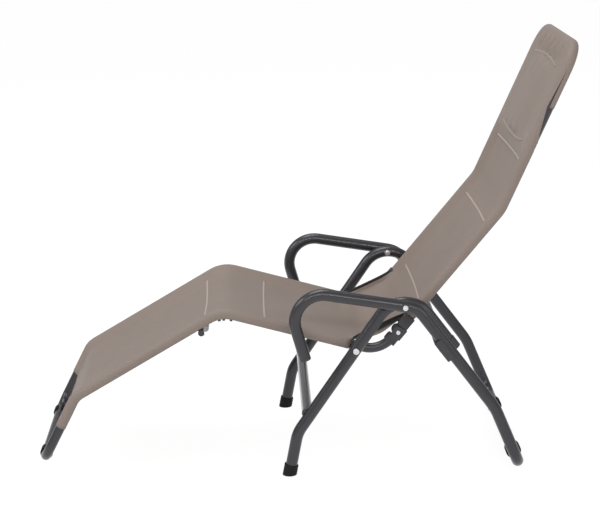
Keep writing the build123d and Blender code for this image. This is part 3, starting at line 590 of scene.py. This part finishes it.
def pocket_outline():
    """Rail middle points and outward ways round the head end, from the right to the left."""
    low, high = POCKET_START, HEAD_LENGTH - HEAD_CORNER
    corner_across = RAIL_HALF - HEAD_CORNER
    side = [(Vector((low + (high - low) * k / 9, RAIL_HALF)), Vector((0, 1))) for k in range(9)]
    turns = [math.radians(90) * k / 9 for k in range(10)]
    ways = [Vector((math.sin(turn), math.cos(turn))) for turn in turns]
    corner = [(Vector((high, corner_across)) + HEAD_CORNER * way, way) for way in ways]
    top = [
        (Vector((HEAD_LENGTH, corner_across * (1 - k / 38))), Vector((1, 0)))
        for k in range(1, 39)
    ]
    right = side + corner + top
    left = [(Vector((p.x, -p.y)), Vector((n.x, -n.y))) for p, n in right[-2::-1]]
    return right + left


def head_folds(up_head, across):
    """Lengthwise folds of the pocket near the top of the head end."""
    fade = smooth(0.378, 0.398, up_head) * (1 - smooth(0.414, 0.438, up_head))
    drift = across + 0.16 * (up_head - 0.40)
    return fade * sum(
        FOLD_DEPTH * depth * math.exp(-(((drift - place) / width) ** 2))
        for place, width, depth in FOLDS
    )


def weave_pocket(sheet, face, start_along):
    """One side of the pocket over the head end: face is 1 in front and -1 behind."""
    tag = "pocket", face
    outline = pocket_outline()
    for number, (rail, outward) in enumerate(outline):
        angle = POCKET_BACK_ANGLE
        if face > 0:
            beside = abs(rail.y) > RAIL_HALF - 0.0001
            angle = between(POCKET_FRONT_ANGLES, rail.x if beside else HEAD_LENGTH)
        section = half_section(POCKET_SEAM, POCKET_LEVEL, POCKET_SAG, math.radians(angle))
        spine = Vector((min(rail.x, 0.345), 0))
        inner = rail - outward * (RAIL_HALF - POCKET_SEAM)
        reach = 0.0
        for column, (across, level) in enumerate(section):
            if column <= MIDDLE_COLUMNS:
                flat = spine.lerp(inner, column / MIDDLE_COLUMNS)
                near = min(1.0, (1 - column / MIDDLE_COLUMNS) * 3.5)
                uneven = clear_of_pad(flat.x) if face > 0 else 1.0
                level += near * uneven * 0.6 * wrinkle(flat.x + 2.0 * face, flat.y)
            else:
                flat = rail + outward * (across - RAIL_HALF)
            if column <= TOP_COLUMNS:
                fade = 1 - smooth(0.155, 0.180, abs(flat.y))
                level += fade * head_folds(flat.x, flat.y if face > 0 else 0.7 * flat.y + 0.03)
            cloth = flat
            if column > MIDDLE_COLUMNS:
                reach += (Vector(section[column]) - Vector(section[column - 1])).length
                cloth = inner + outward * reach
            sheet.add(
                tag, number, face, column, head_point(flat.x, flat.y, face * level),
                (cloth.y, start_along + NECK_AT + cloth.x),
            )
    for number in range(len(outline) - 1):
        for column in range(ROUND_COLUMNS):
            sheet.cell(tag, number, face, column)


def select_only(pieces):
    bpy.ops.object.select_all(action="DESELECT")
    for piece in pieces:
        piece.select_set(True)
    bpy.context.view_layer.objects.active = pieces[0]


def apply_modifier(piece, kind, **settings):
    select_only([piece])
    modifier = piece.modifiers.new(kind.title(), kind)
    for name, value in settings.items():
        setattr(modifier, name, value)
    bpy.ops.object.modifier_apply(modifier=modifier.name)


def primitive(kind, **settings):
    """A primitive mesh with its place, turn and scale applied."""
    bpy.ops.object.select_all(action="DESELECT")
    getattr(bpy.ops.mesh, f"primitive_{kind}_add")(**settings)
    bpy.ops.object.transform_apply(location=True, rotation=True, scale=True)
    return bpy.context.object


def edit_all(operator, **settings):
    """An edit of the active piece's whole mesh."""
    bpy.ops.object.mode_set(mode="EDIT")
    bpy.ops.mesh.select_all(action="SELECT")
    operator(**settings)
    bpy.ops.object.mode_set(mode="OBJECT")


def bevelled(piece, offset):
    """The active piece with its edges rounded."""
    edit_all(bpy.ops.mesh.bevel, offset=offset, segments=3)
    bpy.ops.object.shade_smooth_by_angle(angle=math.radians(40))
    return piece


def smooth_faces(piece):
    piece.data.polygons.foreach_set("use_smooth", [True] * len(piece.data.polygons))


def profile_run(name, frames, profile):
    """A bar that carries a profile along frames of (origin, first way, second way)."""
    body = bmesh.new()
    rings = [
        [body.verts.new(origin + first * a + second * b) for a, b in profile]
        for origin, first, second in frames
    ]
    size = len(profile)
    for low, high in zip(rings, rings[1:]):
        for k in range(size):
            after = (k + 1) % size
            body.faces.new((low[k], high[k], high[after], low[after])).smooth = True
    body.faces.new(rings[0])
    body.faces.new(rings[-1][::-1])
    bmesh.ops.recalc_face_normals(body, faces=body.faces[:])
    return mesh_piece(name, body)


def joined(pieces, name):
    select_only(pieces)
    bpy.ops.object.join()
    pieces[0].name = pieces[0].data.name = name
    return pieces[0]


class Value:
    """An output socket of a node, which sums and products turn into Math nodes."""

    def __init__(self, finish, socket):
        self.finish = finish
        self.socket = socket

    def math(self, operation, other=None, swap=False):
        terms = [self] if other is None else [other, self] if swap else [self, other]
        return self.finish.node("ShaderNodeMath", {"operation": operation}, enumerate(terms))

    def __add__(self, other):
        return self.math("ADD", other)

    def __radd__(self, other):
        return self.math("ADD", other, swap=True)

    def __rsub__(self, other):
        return self.math("SUBTRACT", other, swap=True)

    def __mul__(self, other):
        return self.math("MULTIPLY", other)

    def __pow__(self, other):
        return self.math("POWER", other)

    def sine(self):
        return self.math("SINE")

    def size(self):
        return self.math("ABSOLUTE")


class Finish:
    """A node material with one Principled shader."""

    def __init__(self, name, **constants):
        self.material = bpy.data.materials.new(name)
        self.material.use_nodes = True
        self.tree = self.material.node_tree
        self.tree.nodes.clear()
        self.shader = self.tree.nodes.new("ShaderNodeBsdfPrincipled")
        self.output = self.tree.nodes.new("ShaderNodeOutputMaterial")
        self.tree.links.new(self.shader.outputs[0], self.output.inputs[0])
        for socket, value in constants.items():
            self.shader.inputs[socket.replace("_", " ")].default_value = value

    def node(self, kind, settings, sockets, output=0):
        made = self.tree.nodes.new(kind)
        for name, value in settings.items():
            setattr(made, name, value)
        for key, value in dict(sockets).items():
            if isinstance(value, Value):
                self.tree.links.new(value.socket, made.inputs[key])
            else:
                made.inputs[key].default_value = value
        return Value(self, made.outputs[output])

    def feed(self, socket, value):
        self.tree.links.new(value.socket, self.shader.inputs[socket])

    def object_space(self):
        return self.node("ShaderNodeTexCoord", {}, {}, output=3)

    def place(self):
        """Object coordinates, centred on the lounger."""
        centre = [-(low + high) / 2 for low, high in zip(*CAD_BOX)]
        return self.node("ShaderNodeMapping", {}, {0: self.object_space(), 1: centre})

    def stretch(self, spot, scale):
        return self.node("ShaderNodeMapping", {}, {0: spot, 3: scale})

    def axes(self, spot):
        """The three coordinates of a place."""
        parts = self.node("ShaderNodeSeparateXYZ", {}, {0: spot}).socket.node
        return [Value(self, output) for output in parts.outputs]

    def grain(self, spot, scale, detail=2.0, roughness=0.5):
        return self.node(
            "ShaderNodeTexNoise", {},
            {"Vector": spot, "Scale": scale, "Detail": detail, "Roughness": roughness},
        )

    def paint(self, share, first, second):
        """The base colour as a mix of two colours."""
        self.feed("Base Color", self.node(
            "ShaderNodeMix", {"data_type": "RGBA"},
            {0: share, 6: (*first, 1.0), 7: (*second, 1.0)}, output=2,
        ))

    def bump(self, height, strength, distance):
        self.feed("Normal", self.node(
            "ShaderNodeBump", {}, {"Strength": strength, "Distance": distance, "Height": height}
        ))


def scaled(base, factor):
    return tuple(min(1.0, channel * factor) for channel in base)


def woven_finish(name, base, yarn, flat_map=None, lift=0.00022):
    """Plain weave of coated yarn: threads over and under, with uneven yarn and broad shade.

    It follows a flat map of the cloth, or else the lounger's width and height."""
    pitch, contrast = yarn
    finish = Finish(name, Roughness=0.62, Specular_IOR_Level=0.3, Sheen_Weight=0.06)
    if flat_map:
        flat = finish.node("ShaderNodeUVMap", {"uv_map": flat_map}, {})
        first, second = finish.axes(flat)[:2]
    else:
        flat = finish.place()
        first, second = finish.axes(flat)[1:]
    turns = 2 * math.pi / pitch
    warp = (first * turns).sine()
    weft = (second * turns).sine()
    threads = warp.size() * 0.5 + weft.size() * 0.5
    over = warp * weft * 0.5 + 0.5
    slub = finish.grain(finish.stretch(flat, (900, 30, 30)), 1.0)
    slub_across = finish.grain(finish.stretch(flat, (30, 900, 30)), 1.0)
    broad = finish.grain(flat, 7.0, 3.0)
    shade = (
        threads * (0.45 * contrast) + over * (0.35 * contrast) + slub * (0.5 * contrast)
        + slub_across * (0.5 * contrast) + broad * 0.35
    )
    finish.paint(shade * 0.8, scaled(base, 0.78), scaled(base, 1.24))
    finish.feed("Roughness", 0.72 - over * 0.12)
    finish.bump(threads * 0.6 + over * 0.4, 0.35, lift)
    return finish.material


def powder_coat(name, coat, painted_reflection_lift):
    """The frame's paint, with a share of clear coat and its colour times a lift; a lift above 1
    paints reflected light into the colour.
    """
    finish = Finish(name, Metallic=0.3, Coat_Weight=coat, Coat_Roughness=0.16)
    spot = finish.place()
    peel = finish.grain(spot, 420.0)
    broad = finish.grain(spot, 9.0, 3.0)
    rub = finish.grain(spot, 38.0, 5.0, 0.65)
    # The colour times the lift: above 1 this is painted reflection
    base = scaled(colours().steel, painted_reflection_lift)
    finish.paint(broad * 0.7 + rub * 0.3, scaled(base, 0.90), scaled(base, 1.10))
    finish.feed("Roughness", 0.30 + rub * 0.06 + peel * 0.03)
    finish.bump(peel, 0.05, 0.0002)
    return finish.material


def zinc_plate():
    finish = Finish("zinc_plate", Metallic=1.0)
    spot = finish.place()
    turning = finish.grain(finish.stretch(spot, (1, 6, 1)), 260.0)
    broad = finish.grain(spot, 60.0, 3.0)
    base = colours().zinc
    finish.paint(broad, scaled(base, 0.8), scaled(base, 1.1))
    finish.feed("Roughness", 0.22 + turning * 0.2)
    finish.bump(turning, 0.15, 0.0002)
    return finish.material


def moulded(name, base, roughness, grain_scale, strength, specular=0.5):
    finish = Finish(name, Specular_IOR_Level=specular)
    spot = finish.place()
    fine = finish.grain(spot, grain_scale, 3.0, 0.6)
    dust = finish.grain(spot, 14.0, 4.0, 0.6)
    finish.paint(dust ** 2.0, scaled(base, 0.85), scaled(base, 2.0))
    finish.feed("Roughness", roughness + fine * 0.16)
    finish.bump(fine, strength, 0.0004)
    return finish.material


def drawn_steel():
    finish = Finish("drawn_steel", Metallic=1.0)
    lines = finish.grain(finish.stretch(finish.place(), (60, 2, 60)), 40.0)
    finish.paint(lines, (0.34, 0.34, 0.35), (0.52, 0.52, 0.53))
    finish.feed("Roughness", 0.35 + lines * 0.2)
    return finish.material


def thread_finish(name, base):
    finish = Finish(name, Roughness=0.6)
    spot = finish.place()
    stitch = (finish.axes(spot)[1] * (2 * math.pi / 0.004)).sine() * 0.5 + 0.5
    fuzz = finish.grain(spot, 700.0)
    finish.paint(stitch * 0.6 + fuzz * 0.4, scaled(base, 0.78), scaled(base, 1.16))
    finish.bump(stitch, 0.4, 0.0004)
    return finish.material


def dress(piece, material):
    piece.data.materials.append(material)


class ClothPlan:
    """The cloth's rows, which the sling, its seams and its bindings share."""

    def __init__(self):
        self.seat, seat_seams, seat_length = seat_rows()
        back, back_seams, back_length = back_rows()
        self.hip, hip_length = hip_rows(self.seat[-1], back[0], seat_length)
        self.back_along = seat_length + hip_length
        for row in back:
            row.along += self.back_along
        self.back = back
        self.seams = {**seat_seams, **back_seams}
        self.rows_length = self.back_along + back_length


def bend_with_back(piece):
    """Bake the piece's place into its mesh; it is not tied to the seat or the back frame, so it
    does not follow them.
    """
    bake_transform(piece)


class LOUNGER_OT_sling(bpy.types.Operator):
    """Weave the sling: seat, hip and back in one cloth, with sleeves and a head pocket"""

    bl_idname = "lounger.sling"
    bl_label = "Sling cloth"

    def execute(self, context):
        s = sizes()
        plan = ClothPlan()
        sheet = ClothSheet()
        weave_rows(sheet, plan.seat, "seat")
        first, last = (
            ClothRow(row.half[:TOP_COLUMNS + 1], row.along, row.way)
            for row in (plan.seat[-1], plan.back[0])
        )
        weave_rows(sheet, [first, *plan.hip, last], "hip")
        weave_rows(sheet, plan.back, "back")
        weave_pocket(sheet, 1, plan.back_along)
        weave_pocket(sheet, -1, plan.back_along)
        sling = sheet.object("sling_cloth")
        width = 2 * across_lengths(plan.seat[0])[-1]
        length = plan.rows_length + 2 * (HEAD_LENGTH - POCKET_START) + 0.043
        apply_modifier(sling, "SOLIDIFY", thickness=s.cloth_thickness, offset=0.0)
        weave = woven_finish("sling_weave", colours().cloth, CLOTH_YARN, "ClothMap")
        dress(sling, weave)
        bend_with_back(sling)
        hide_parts("sling_seat", "sling_back")
        return {"FINISHED"}


class LOUNGER_OT_bindings(bpy.types.Operator):
    """Fold dark tape over the sling's free edges at the hip"""

    bl_idname = "lounger.bindings"
    bl_label = "Edge bindings"

    def execute(self, context):
        s = sizes()
        plan = ClothPlan()
        rows = [plan.seat[-1], *plan.hip, plan.back[0]]
        gap, tape = s.cloth_thickness / 2 + 0.0003, 0.0009
        outer = gap + tape

        def bend(reach):
            turns = (0.0, 1.0), (-0.7, 0.7), (-1.0, 0.0), (-0.7, -0.7), (0.0, -1.0)
            return [(reach * inward, reach * up) for inward, up in turns]

        profile = [
            (s.binding_top, gap), (s.binding_top, outer), *bend(outer),
            (s.binding_under, -outer), (s.binding_under, -gap), *bend(gap)[::-1],
        ]
        sides = []
        for side in (-1, 1):
            frames = []
            for before, row, after in zip(rows, rows[1:], rows[2:]):
                edge = row.point(side, TOP_COLUMNS)
                inward = (row.point(side, TOP_COLUMNS - 3) - edge).normalized()
                way = after.point(side, TOP_COLUMNS) - before.point(side, TOP_COLUMNS)
                up = way.cross(inward).normalized()
                frames.append((edge, inward, up if up.z - side * up.y > 0 else -up))
            sides.append(profile_run(f"binding_{side}", frames, profile))
        binding = joined(sides, "hip_bindings")
        weave = woven_finish("tape_weave", colours().binding, TAPE_YARN, lift=0.0002)
        dress(binding, weave)
        bend_with_back(binding)
        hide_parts("seat_edge_binding", "back_edge_binding")
        return {"FINISHED"}


class LOUNGER_OT_seams(bpy.types.Operator):
    """Sew the pale seams across the sling, and the thin ones beside the head pad"""

    bl_idname = "lounger.seams"
    bl_label = "Sewn seams"

    def execute(self, context):
        s = sizes()
        plan = ClothPlan()
        half, low, high = s.thread_width / 2, s.cloth_thickness / 2 - 0.0002, 0.0013
        profile = [
            (-half, low), (-half * 0.92, high * 0.8), (-half * 0.4, high), (half * 0.4, high),
            (half * 0.92, high * 0.8), (half, low),
        ]
        thread = thread_finish("seam_thread", colours().thread)
        for name, row in plan.seams.items():
            ways = in_space(row.way), in_space(left_of(row.way))
            spots = [row.point(-1, k) for k in range(MIDDLE_COLUMNS, 0, -1)]
            spots += [row.point(1, k) for k in range(MIDDLE_COLUMNS + 1)]
            seam = profile_run(f"seam_{name}", [(spot, *ways) for spot in spots], profile)
            dress(seam, thread)
            bend_with_back(seam)
        neck_at = plan.back_along + NECK_AT
        beside = [row for row in plan.back if 0.130 <= row.along - neck_at <= 0.210]
        thin = [(a * s.side_thread / s.thread_width, b * 0.8 + low * 0.2) for a, b in profile]
        lines = []
        for side in (-1, 1):
            inset = Vector((0, side * 0.002, 0))
            frames = [
                (row.point(side, MIDDLE_COLUMNS) - inset, Vector((0, 1, 0)),
                 in_space(left_of(row.way)))
                for row in beside
            ]
            lines.append(profile_run(f"side_{side}", frames, thin))
        line = joined(lines, "seam_sides")
        dress(line, thread)
        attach(line, "back_frame")
        return {"FINISHED"}


def pad_end(turn):
    """Half length of the pad at a share of its half width: both ends are arcs."""
    return sizes().pad_length / 2 - sizes().pad_bow * turn * turn


class LOUNGER_OT_head_pad(bpy.types.Operator):
    """Fill the head pad, which is sewn on the front of the head end"""

    bl_idname = "lounger.head_pad"
    bl_label = "Head pad"

    def execute(self, context):
        s = sizes()
        rows, columns = 26, 40
        shape = bmesh.new()
        spots = {}
        for side in (1, -1):
            for i in range(rows + 1):
                share = -math.cos(math.pi * i / rows)
                for j in range(columns + 1):
                    turn = -math.cos(math.pi * j / columns)
                    swell = max(0.0, 1 - share ** 2) ** 0.55 * max(0.0, 1 - turn ** 2) ** 0.9
                    level = -0.0015 + (s.pad_height - 0.001) * swell if side > 0 else -0.0075
                    ahead = PAD_MIDDLE + share * (pad_end(turn) - PAD_RIM)
                    spot = Vector((turn * (s.pad_width / 2 - PAD_RIM), ahead, level))
                    spots[side, i, j] = shape.verts.new(spot)
            for i in range(rows):
                for j in range(columns):
                    around = (i, j), (i + 1, j), (i + 1, j + 1), (i, j + 1)
                    shape.faces.new([spots[side, m, n] for m, n in around[::side]])
        rim = [(0, j) for j in range(columns)] + [(i, columns) for i in range(rows)]
        rim += [(rows, j) for j in range(columns, 0, -1)] + [(i, 0) for i in range(rows, 0, -1)]
        for (i, j), (m, n) in zip(rim, rim[1:] + rim[:1]):
            shape.faces.new((spots[1, i, j], spots[1, m, n], spots[-1, m, n], spots[-1, i, j]))
        bmesh.ops.recalc_face_normals(shape, faces=shape.faces[:])
        pad = mesh_piece("head_pad_cover", shape)
        self.inflate(pad)
        apply_modifier(pad, "SUBSURF", levels=1, render_levels=1)
        self.lay(pad)
        smooth_faces(pad)
        weave = woven_finish("pad_weave", colours().cloth, CLOTH_YARN, "ClothMap")
        dress(pad, weave)
        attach(pad, "back_frame")
        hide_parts("head_pad")
        self.piping()
        return {"FINISHED"}

    def inflate(self, pad):
        """Swell the pad as cloth under pressure, with a limit on how far a point moves."""
        apply_modifier(pad, "REMESH", mode="VOXEL", voxel_size=PAD_VOXEL)
        start = [vertex.co.copy() for vertex in pad.data.vertices]
        cloth = pad.modifiers.new("Cloth", "CLOTH")
        cloth.settings.use_pressure = True
        cloth.settings.uniform_pressure_force = PAD_PRESSURE
        cloth.settings.effector_weights.gravity = 0.0
        scene = bpy.context.scene
        for number in range(1, PAD_FRAMES + 1):
            scene.frame_set(number)
        swollen = pad.evaluated_get(bpy.context.evaluated_depsgraph_get()).data
        ends = [vertex.co.copy() for vertex in swollen.vertices]
        pad.modifiers.remove(cloth)
        scene.frame_set(1)
        for vertex, first, last in zip(pad.data.vertices, start, ends):
            move = last - first
            if move.length > PAD_SWELL_LIMIT:
                move *= PAD_SWELL_LIMIT / move.length
            vertex.co = first + Vector((0.3 * move.x, 0.3 * move.y, move.z))

    def lay(self, pad):
        """Lay the flat pad on the sheet, its rim sewn down, with shallow pulls at its ends."""
        layer = pad.data.uv_layers.new(name="ClothMap")
        flat = [vertex.co.copy() for vertex in pad.data.vertices]
        half_width = sizes().pad_width / 2
        for loop in pad.data.loops:
            layer.data[loop.index].uv = flat[loop.vertex_index].xy
        for vertex, spot in zip(pad.data.vertices, flat):
            turn = max(-1.0, min(1.0, spot.x / half_width))
            ahead = (spot.y - PAD_MIDDLE) / pad_end(turn)
            swell = spot.z
            if swell > 0.0:
                sewn = (1 - smooth(0.93, 1.03, abs(ahead))) * (1 - smooth(0.35, 1.0, abs(turn)))
                pull = math.sin(spot.x * 92 + 80 * (spot.y - PAD_MIDDLE) * 0.11 + ahead)
                ripple = noise.noise(Vector((spot.y * 14, spot.x * 20, 5.0)))
                swell = sewn * (
                    swell + 0.0008 * smooth(0.3, 0.95, abs(ahead)) * pull + 0.0009 * ripple
                )
            level = sheet_level(spot.y, spot.x) + max(0.0, swell)
            vertex.co = head_point(spot.y, spot.x, level)

    def piping(self):
        """The pale curved seams at the two ends of the pad."""
        way = aim(HEAD_ANGLE)
        half_width = sizes().pad_width / 2
        profile = [
            (0.0025 * math.cos(a), 0.0009 * math.sin(a) + 0.0008)
            for a in (2 * math.pi * k / 8 for k in range(8))
        ]
        ends = []
        for end in (-1, 1):
            frames = []
            for k in range(33):
                turn = -0.97 + 1.94 * k / 32
                across = turn * half_width
                ahead = PAD_MIDDLE + end * (pad_end(turn) + 0.001)
                level = sheet_level(ahead, across) + head_folds(ahead, across)
                slope = -end * 2 * sizes().pad_bow * turn / half_width
                out = in_space(way, -slope).normalized()
                frames.append((head_point(ahead, across, level), out, in_space(left_of(way))))
            ends.append(profile_run(f"pad_seam_{end}", frames, profile))
        seam = joined(ends, "pad_end_seams")
        dress(seam, thread_finish("soft_thread", colours().soft_thread))
        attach(seam, "back_frame")


class LOUNGER_OT_knee_tabs(bpy.types.Operator):
    """Add the small dark tabs under the sleeves at the knee"""

    bl_idname = "lounger.knee_tabs"
    bl_label = "Knee tabs"

    def execute(self, context):
        line = seat_line()
        tabs = []
        for side in (-1, 1):
            for offset in (-0.006, 0.008, 0.031):
                point, way = line.at(KNEE_AT + offset)
                tab = primitive(
                    "cube", size=1.0, scale=(0.0072, 0.006, 0.0042),
                    location=placed(point, -0.0158, way, side * (RAIL_HALF - 0.001)),
                    rotation=(0, -math.atan2(way.y, way.x), 0),
                )
                tabs.append(bevelled(tab, 0.0013))
        tab = joined(tabs, "knee_tabs")
        dress(tab, moulded("tab_plastic", colours().plastic, 0.4, 500.0, 0.2))
        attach(tab, "seat_frame")
        return {"FINISHED"}


class LOUNGER_OT_welds(bpy.types.Operator):
    """Lay weld beads where the cross tube meets the front legs, and close its ends"""

    bl_idname = "lounger.welds"
    bl_label = "Weld beads"

    def execute(self, context):
        low, high = (Vector(corner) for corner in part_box("front_cross_tube"))
        middle = (low + high) / 2
        tube = (high.x - low.x) / 2
        leg_out = aim(LEG_ANGLE + math.pi / 2)
        beads = []
        for side in (-1, 1):
            bead = primitive(
                "torus", major_segments=72, minor_segments=10, major_radius=tube + 0.0008,
                minor_radius=BEAD_RADIUS, location=(middle.x, 0, middle.z),
                rotation=(math.radians(90), 0, 0),
            )
            for vertex in bead.data.vertices:
                out = Vector((vertex.co.x - middle.x, 0, vertex.co.z - middle.z))
                off_leg = abs(out.x * leg_out.x + out.z * leg_out.y + CROSS_TUBE_INSET)
                saddle = math.sqrt(max(0.0, BEAD_LEG ** 2 - off_leg ** 2))
                loose = smooth(*BEAD_EDGE, off_leg)
                angle = math.atan2(out.z, out.x)
                ripple = 0.0004 * math.sin(angle * 26)
                vertex.co += out.normalized() * (ripple - 0.0028 * loose)
                vertex.co.y = side * (FRONT_HALF - saddle - 0.0005 - 0.002 * loose) + (
                    vertex.co.y * (1 - 0.5 * loose)
                )
            smooth_faces(bead)
            beads += [bead, self.end_plate(middle, tube, side)]
        bead = joined(beads, "weld_beads")
        dress(bead, frame_coat())
        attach(bead, "front_frame")
        return {"FINISHED"}

    def end_plate(self, middle, tube, side):
        """A plate with a rounded rim that closes the cross tube's end beside the leg."""
        plate = primitive(
            "cylinder", vertices=64, radius=tube - 0.0012, depth=0.003,
            location=(middle.x, side * (FRONT_HALF - 0.0018), middle.z),
            rotation=(math.radians(90), 0, 0),
        )
        return bevelled(plate, 0.0009)


def frame_coat():
    """The frame's paint, which the weld beads share."""
    return bpy.data.materials.get("powder_coat") or powder_coat("powder_coat", 0.25, 1.0)


class LOUNGER_OT_finishes(bpy.types.Operator):
    """Give every carried-over part of the frame its finish"""

    bl_idname = "lounger.finishes"
    bl_label = "Frame finishes"

    def execute(self, context):
        c = colours()
        finish = {
            "frame": frame_coat(),
            "sleeve_steel": drawn_steel(),
            "fastener": zinc_plate(),
            "rubber": moulded("black_rubber", c.rubber, 0.55, 300.0, 0.25, 0.14),
            "plastic": moulded("black_plastic", c.plastic, 0.32, 700.0, 0.15),
            "cloth": woven_finish("cloth_under", c.cloth, CLOTH_YARN),
            "binding": woven_finish("tape_under", c.binding, TAPE_YARN),
            "pad_cloth": woven_finish("pad_under", c.cloth, CLOTH_YARN),
        }
        for part in frame["record"]["subparts"]:
            node = bpy.data.objects[part["node"]]
            material = finish[part["material_slot"]]
            if not node.material_slots:
                node.data.materials.append(material)
            for slot in node.material_slots:
                slot.material = material
        # The front cross tube's paint is 2.2 times lighter: painted reflection of the bright
        # studio, which the tube shows at a grazing angle
        painted_reflection_coat = powder_coat("powder_coat_painted_reflection", 1.0, 2.2)
        for slot in bpy.data.objects["front_cross_tube"].material_slots:
            slot.material = painted_reflection_coat
        return {"FINISHED"}


def white_floor():
    """Pale floor that keeps the shadow and shows near white to the camera."""
    finish = Finish("pale_floor", Roughness=0.9)
    dust = finish.grain(finish.object_space(), 1.5, 3.0)
    finish.paint(dust, (0.86, 0.86, 0.86), (0.90, 0.90, 0.90))
    rays = finish.node("ShaderNodeLightPath", {}, {}).socket.node.outputs
    camera, glossy, through = (
        Value(finish, rays[f"Is {kind} Ray"]) for kind in ("Camera", "Glossy", "Transmission")
    )
    mixed = finish.node("ShaderNodeMixShader", {}, {
        0: (camera + glossy + through) * FLOOR_GLOW_SHARE,
        1: Value(finish, finish.shader.outputs[0]),
        2: finish.node("ShaderNodeEmission", {}, {0: (1, 1, 1, 1), 1: FLOOR_GLOW}),
    })
    finish.tree.links.new(mixed.socket, finish.output.inputs[0])
    return finish.material


def studio_world():
    """An even white world, brighter to the camera than on the lounger."""
    world = bpy.data.worlds.new("studio_world")
    bpy.context.scene.world = world
    world.use_nodes = True
    tree = world.node_tree
    background = next(n for n in tree.nodes if n.type == "BACKGROUND")
    background.inputs[0].default_value = (1, 1, 1, 1)
    path = tree.nodes.new("ShaderNodeLightPath")
    seen = tree.nodes.new("ShaderNodeMath")
    seen.operation = "MAXIMUM"
    tree.links.new(path.outputs["Is Camera Ray"], seen.inputs[0])
    tree.links.new(path.outputs["Is Transmission Ray"], seen.inputs[1])
    level = tree.nodes.new("ShaderNodeMath")
    level.operation = "MULTIPLY_ADD"
    level.inputs[1].default_value = 1 - WORLD_LIGHT
    level.inputs[2].default_value = WORLD_LIGHT
    tree.links.new(seen.outputs[0], level.inputs[0])
    tree.links.new(level.outputs[0], background.inputs[1])


def soft_light(name, place, width, height, power):
    lamp = bpy.data.lights.new(name, "AREA")
    lamp.shape = "RECTANGLE"
    lamp.size, lamp.size_y, lamp.energy = width, height, power
    light = linked(name, lamp)
    light.location = place
    way = LAMP_TARGET - Vector(place)
    light.rotation_euler = way.to_track_quat("-Z", "Y").to_euler()


class LOUNGER_OT_studio(bpy.types.Operator):
    """Set up the pale floor, the soft lights and the camera"""

    bl_idname = "lounger.studio"
    bl_label = "Studio"

    def execute(self, context):
        floor = primitive("plane", size=90, location=(0, 0, -0.0008))
        floor.name = "studio_floor"
        edit_all(bpy.ops.mesh.subdivide, number_cuts=4)
        floor.data.materials.append(white_floor())
        studio_world()
        for lamp in LAMPS:
            soft_light(*lamp)
        self.camera()
        context.scene.view_settings.view_transform = "Standard"
        return {"FINISHED"}

    def camera(self):
        yaw, pitch, roll = CAMERA_TURN
        ahead = Vector((
            math.sin(yaw) * math.cos(pitch), math.cos(yaw) * math.cos(pitch), -math.sin(pitch)
        ))
        level = Vector((math.cos(yaw), -math.sin(yaw), 0))
        upright = level.cross(ahead)
        right = level * math.cos(roll) + upright * math.sin(roll)
        up = upright * math.cos(roll) - level * math.sin(roll)
        data = bpy.data.cameras.new("camera")
        data.sensor_fit = "HORIZONTAL"
        data.sensor_width = SENSOR_WIDTH
        data.lens = SENSOR_WIDTH * CAMERA_FOCUS
        data.clip_end = 200
        camera = linked("camera", data)
        turned = Matrix((right, up, -ahead)).transposed().to_4x4()
        turned.translation = CAMERA_PLACE
        camera.matrix_world = turned
        bpy.context.scene.camera = camera


OPERATORS = (
    LOUNGER_OT_sling, LOUNGER_OT_bindings, LOUNGER_OT_seams, LOUNGER_OT_head_pad,
    LOUNGER_OT_knee_tabs, LOUNGER_OT_welds, LOUNGER_OT_finishes, LOUNGER_OT_studio,
)


class LOUNGER_PT_panel(bpy.types.Panel):
    """The lounger's steps, sizes and colours"""

    bl_idname = "LOUNGER_PT_panel"
    bl_label = "Lounger"
    bl_space_type = "VIEW_3D"
    bl_region_type = "UI"
    bl_category = "Lounger"

    def draw(self, context):
        for operator in OPERATORS:
            self.layout.operator(operator.bl_idname)
        for group in (context.scene.lounger_sizes, context.scene.lounger_colours):
            for name in group.bl_rna.properties.keys():
                if name not in ("rna_type", "name"):
                    self.layout.prop(group, name)


CLASSES = (LoungerSizes, LoungerColours, *OPERATORS, LOUNGER_PT_panel)


def register():
    for item in CLASSES:
        bpy.utils.register_class(item)
    bpy.types.Scene.lounger_sizes = PointerProperty(type=LoungerSizes)
    bpy.types.Scene.lounger_colours = PointerProperty(type=LoungerColours)


def unregister():
    del bpy.types.Scene.lounger_colours
    del bpy.types.Scene.lounger_sizes
    for item in reversed(CLASSES):
        bpy.utils.unregister_class(item)


def main():
    register()
    for operator in OPERATORS:
        group, name = operator.bl_idname.split(".")
        getattr(getattr(bpy.ops, group), name)()


if __name__ == "__main__":
    main()
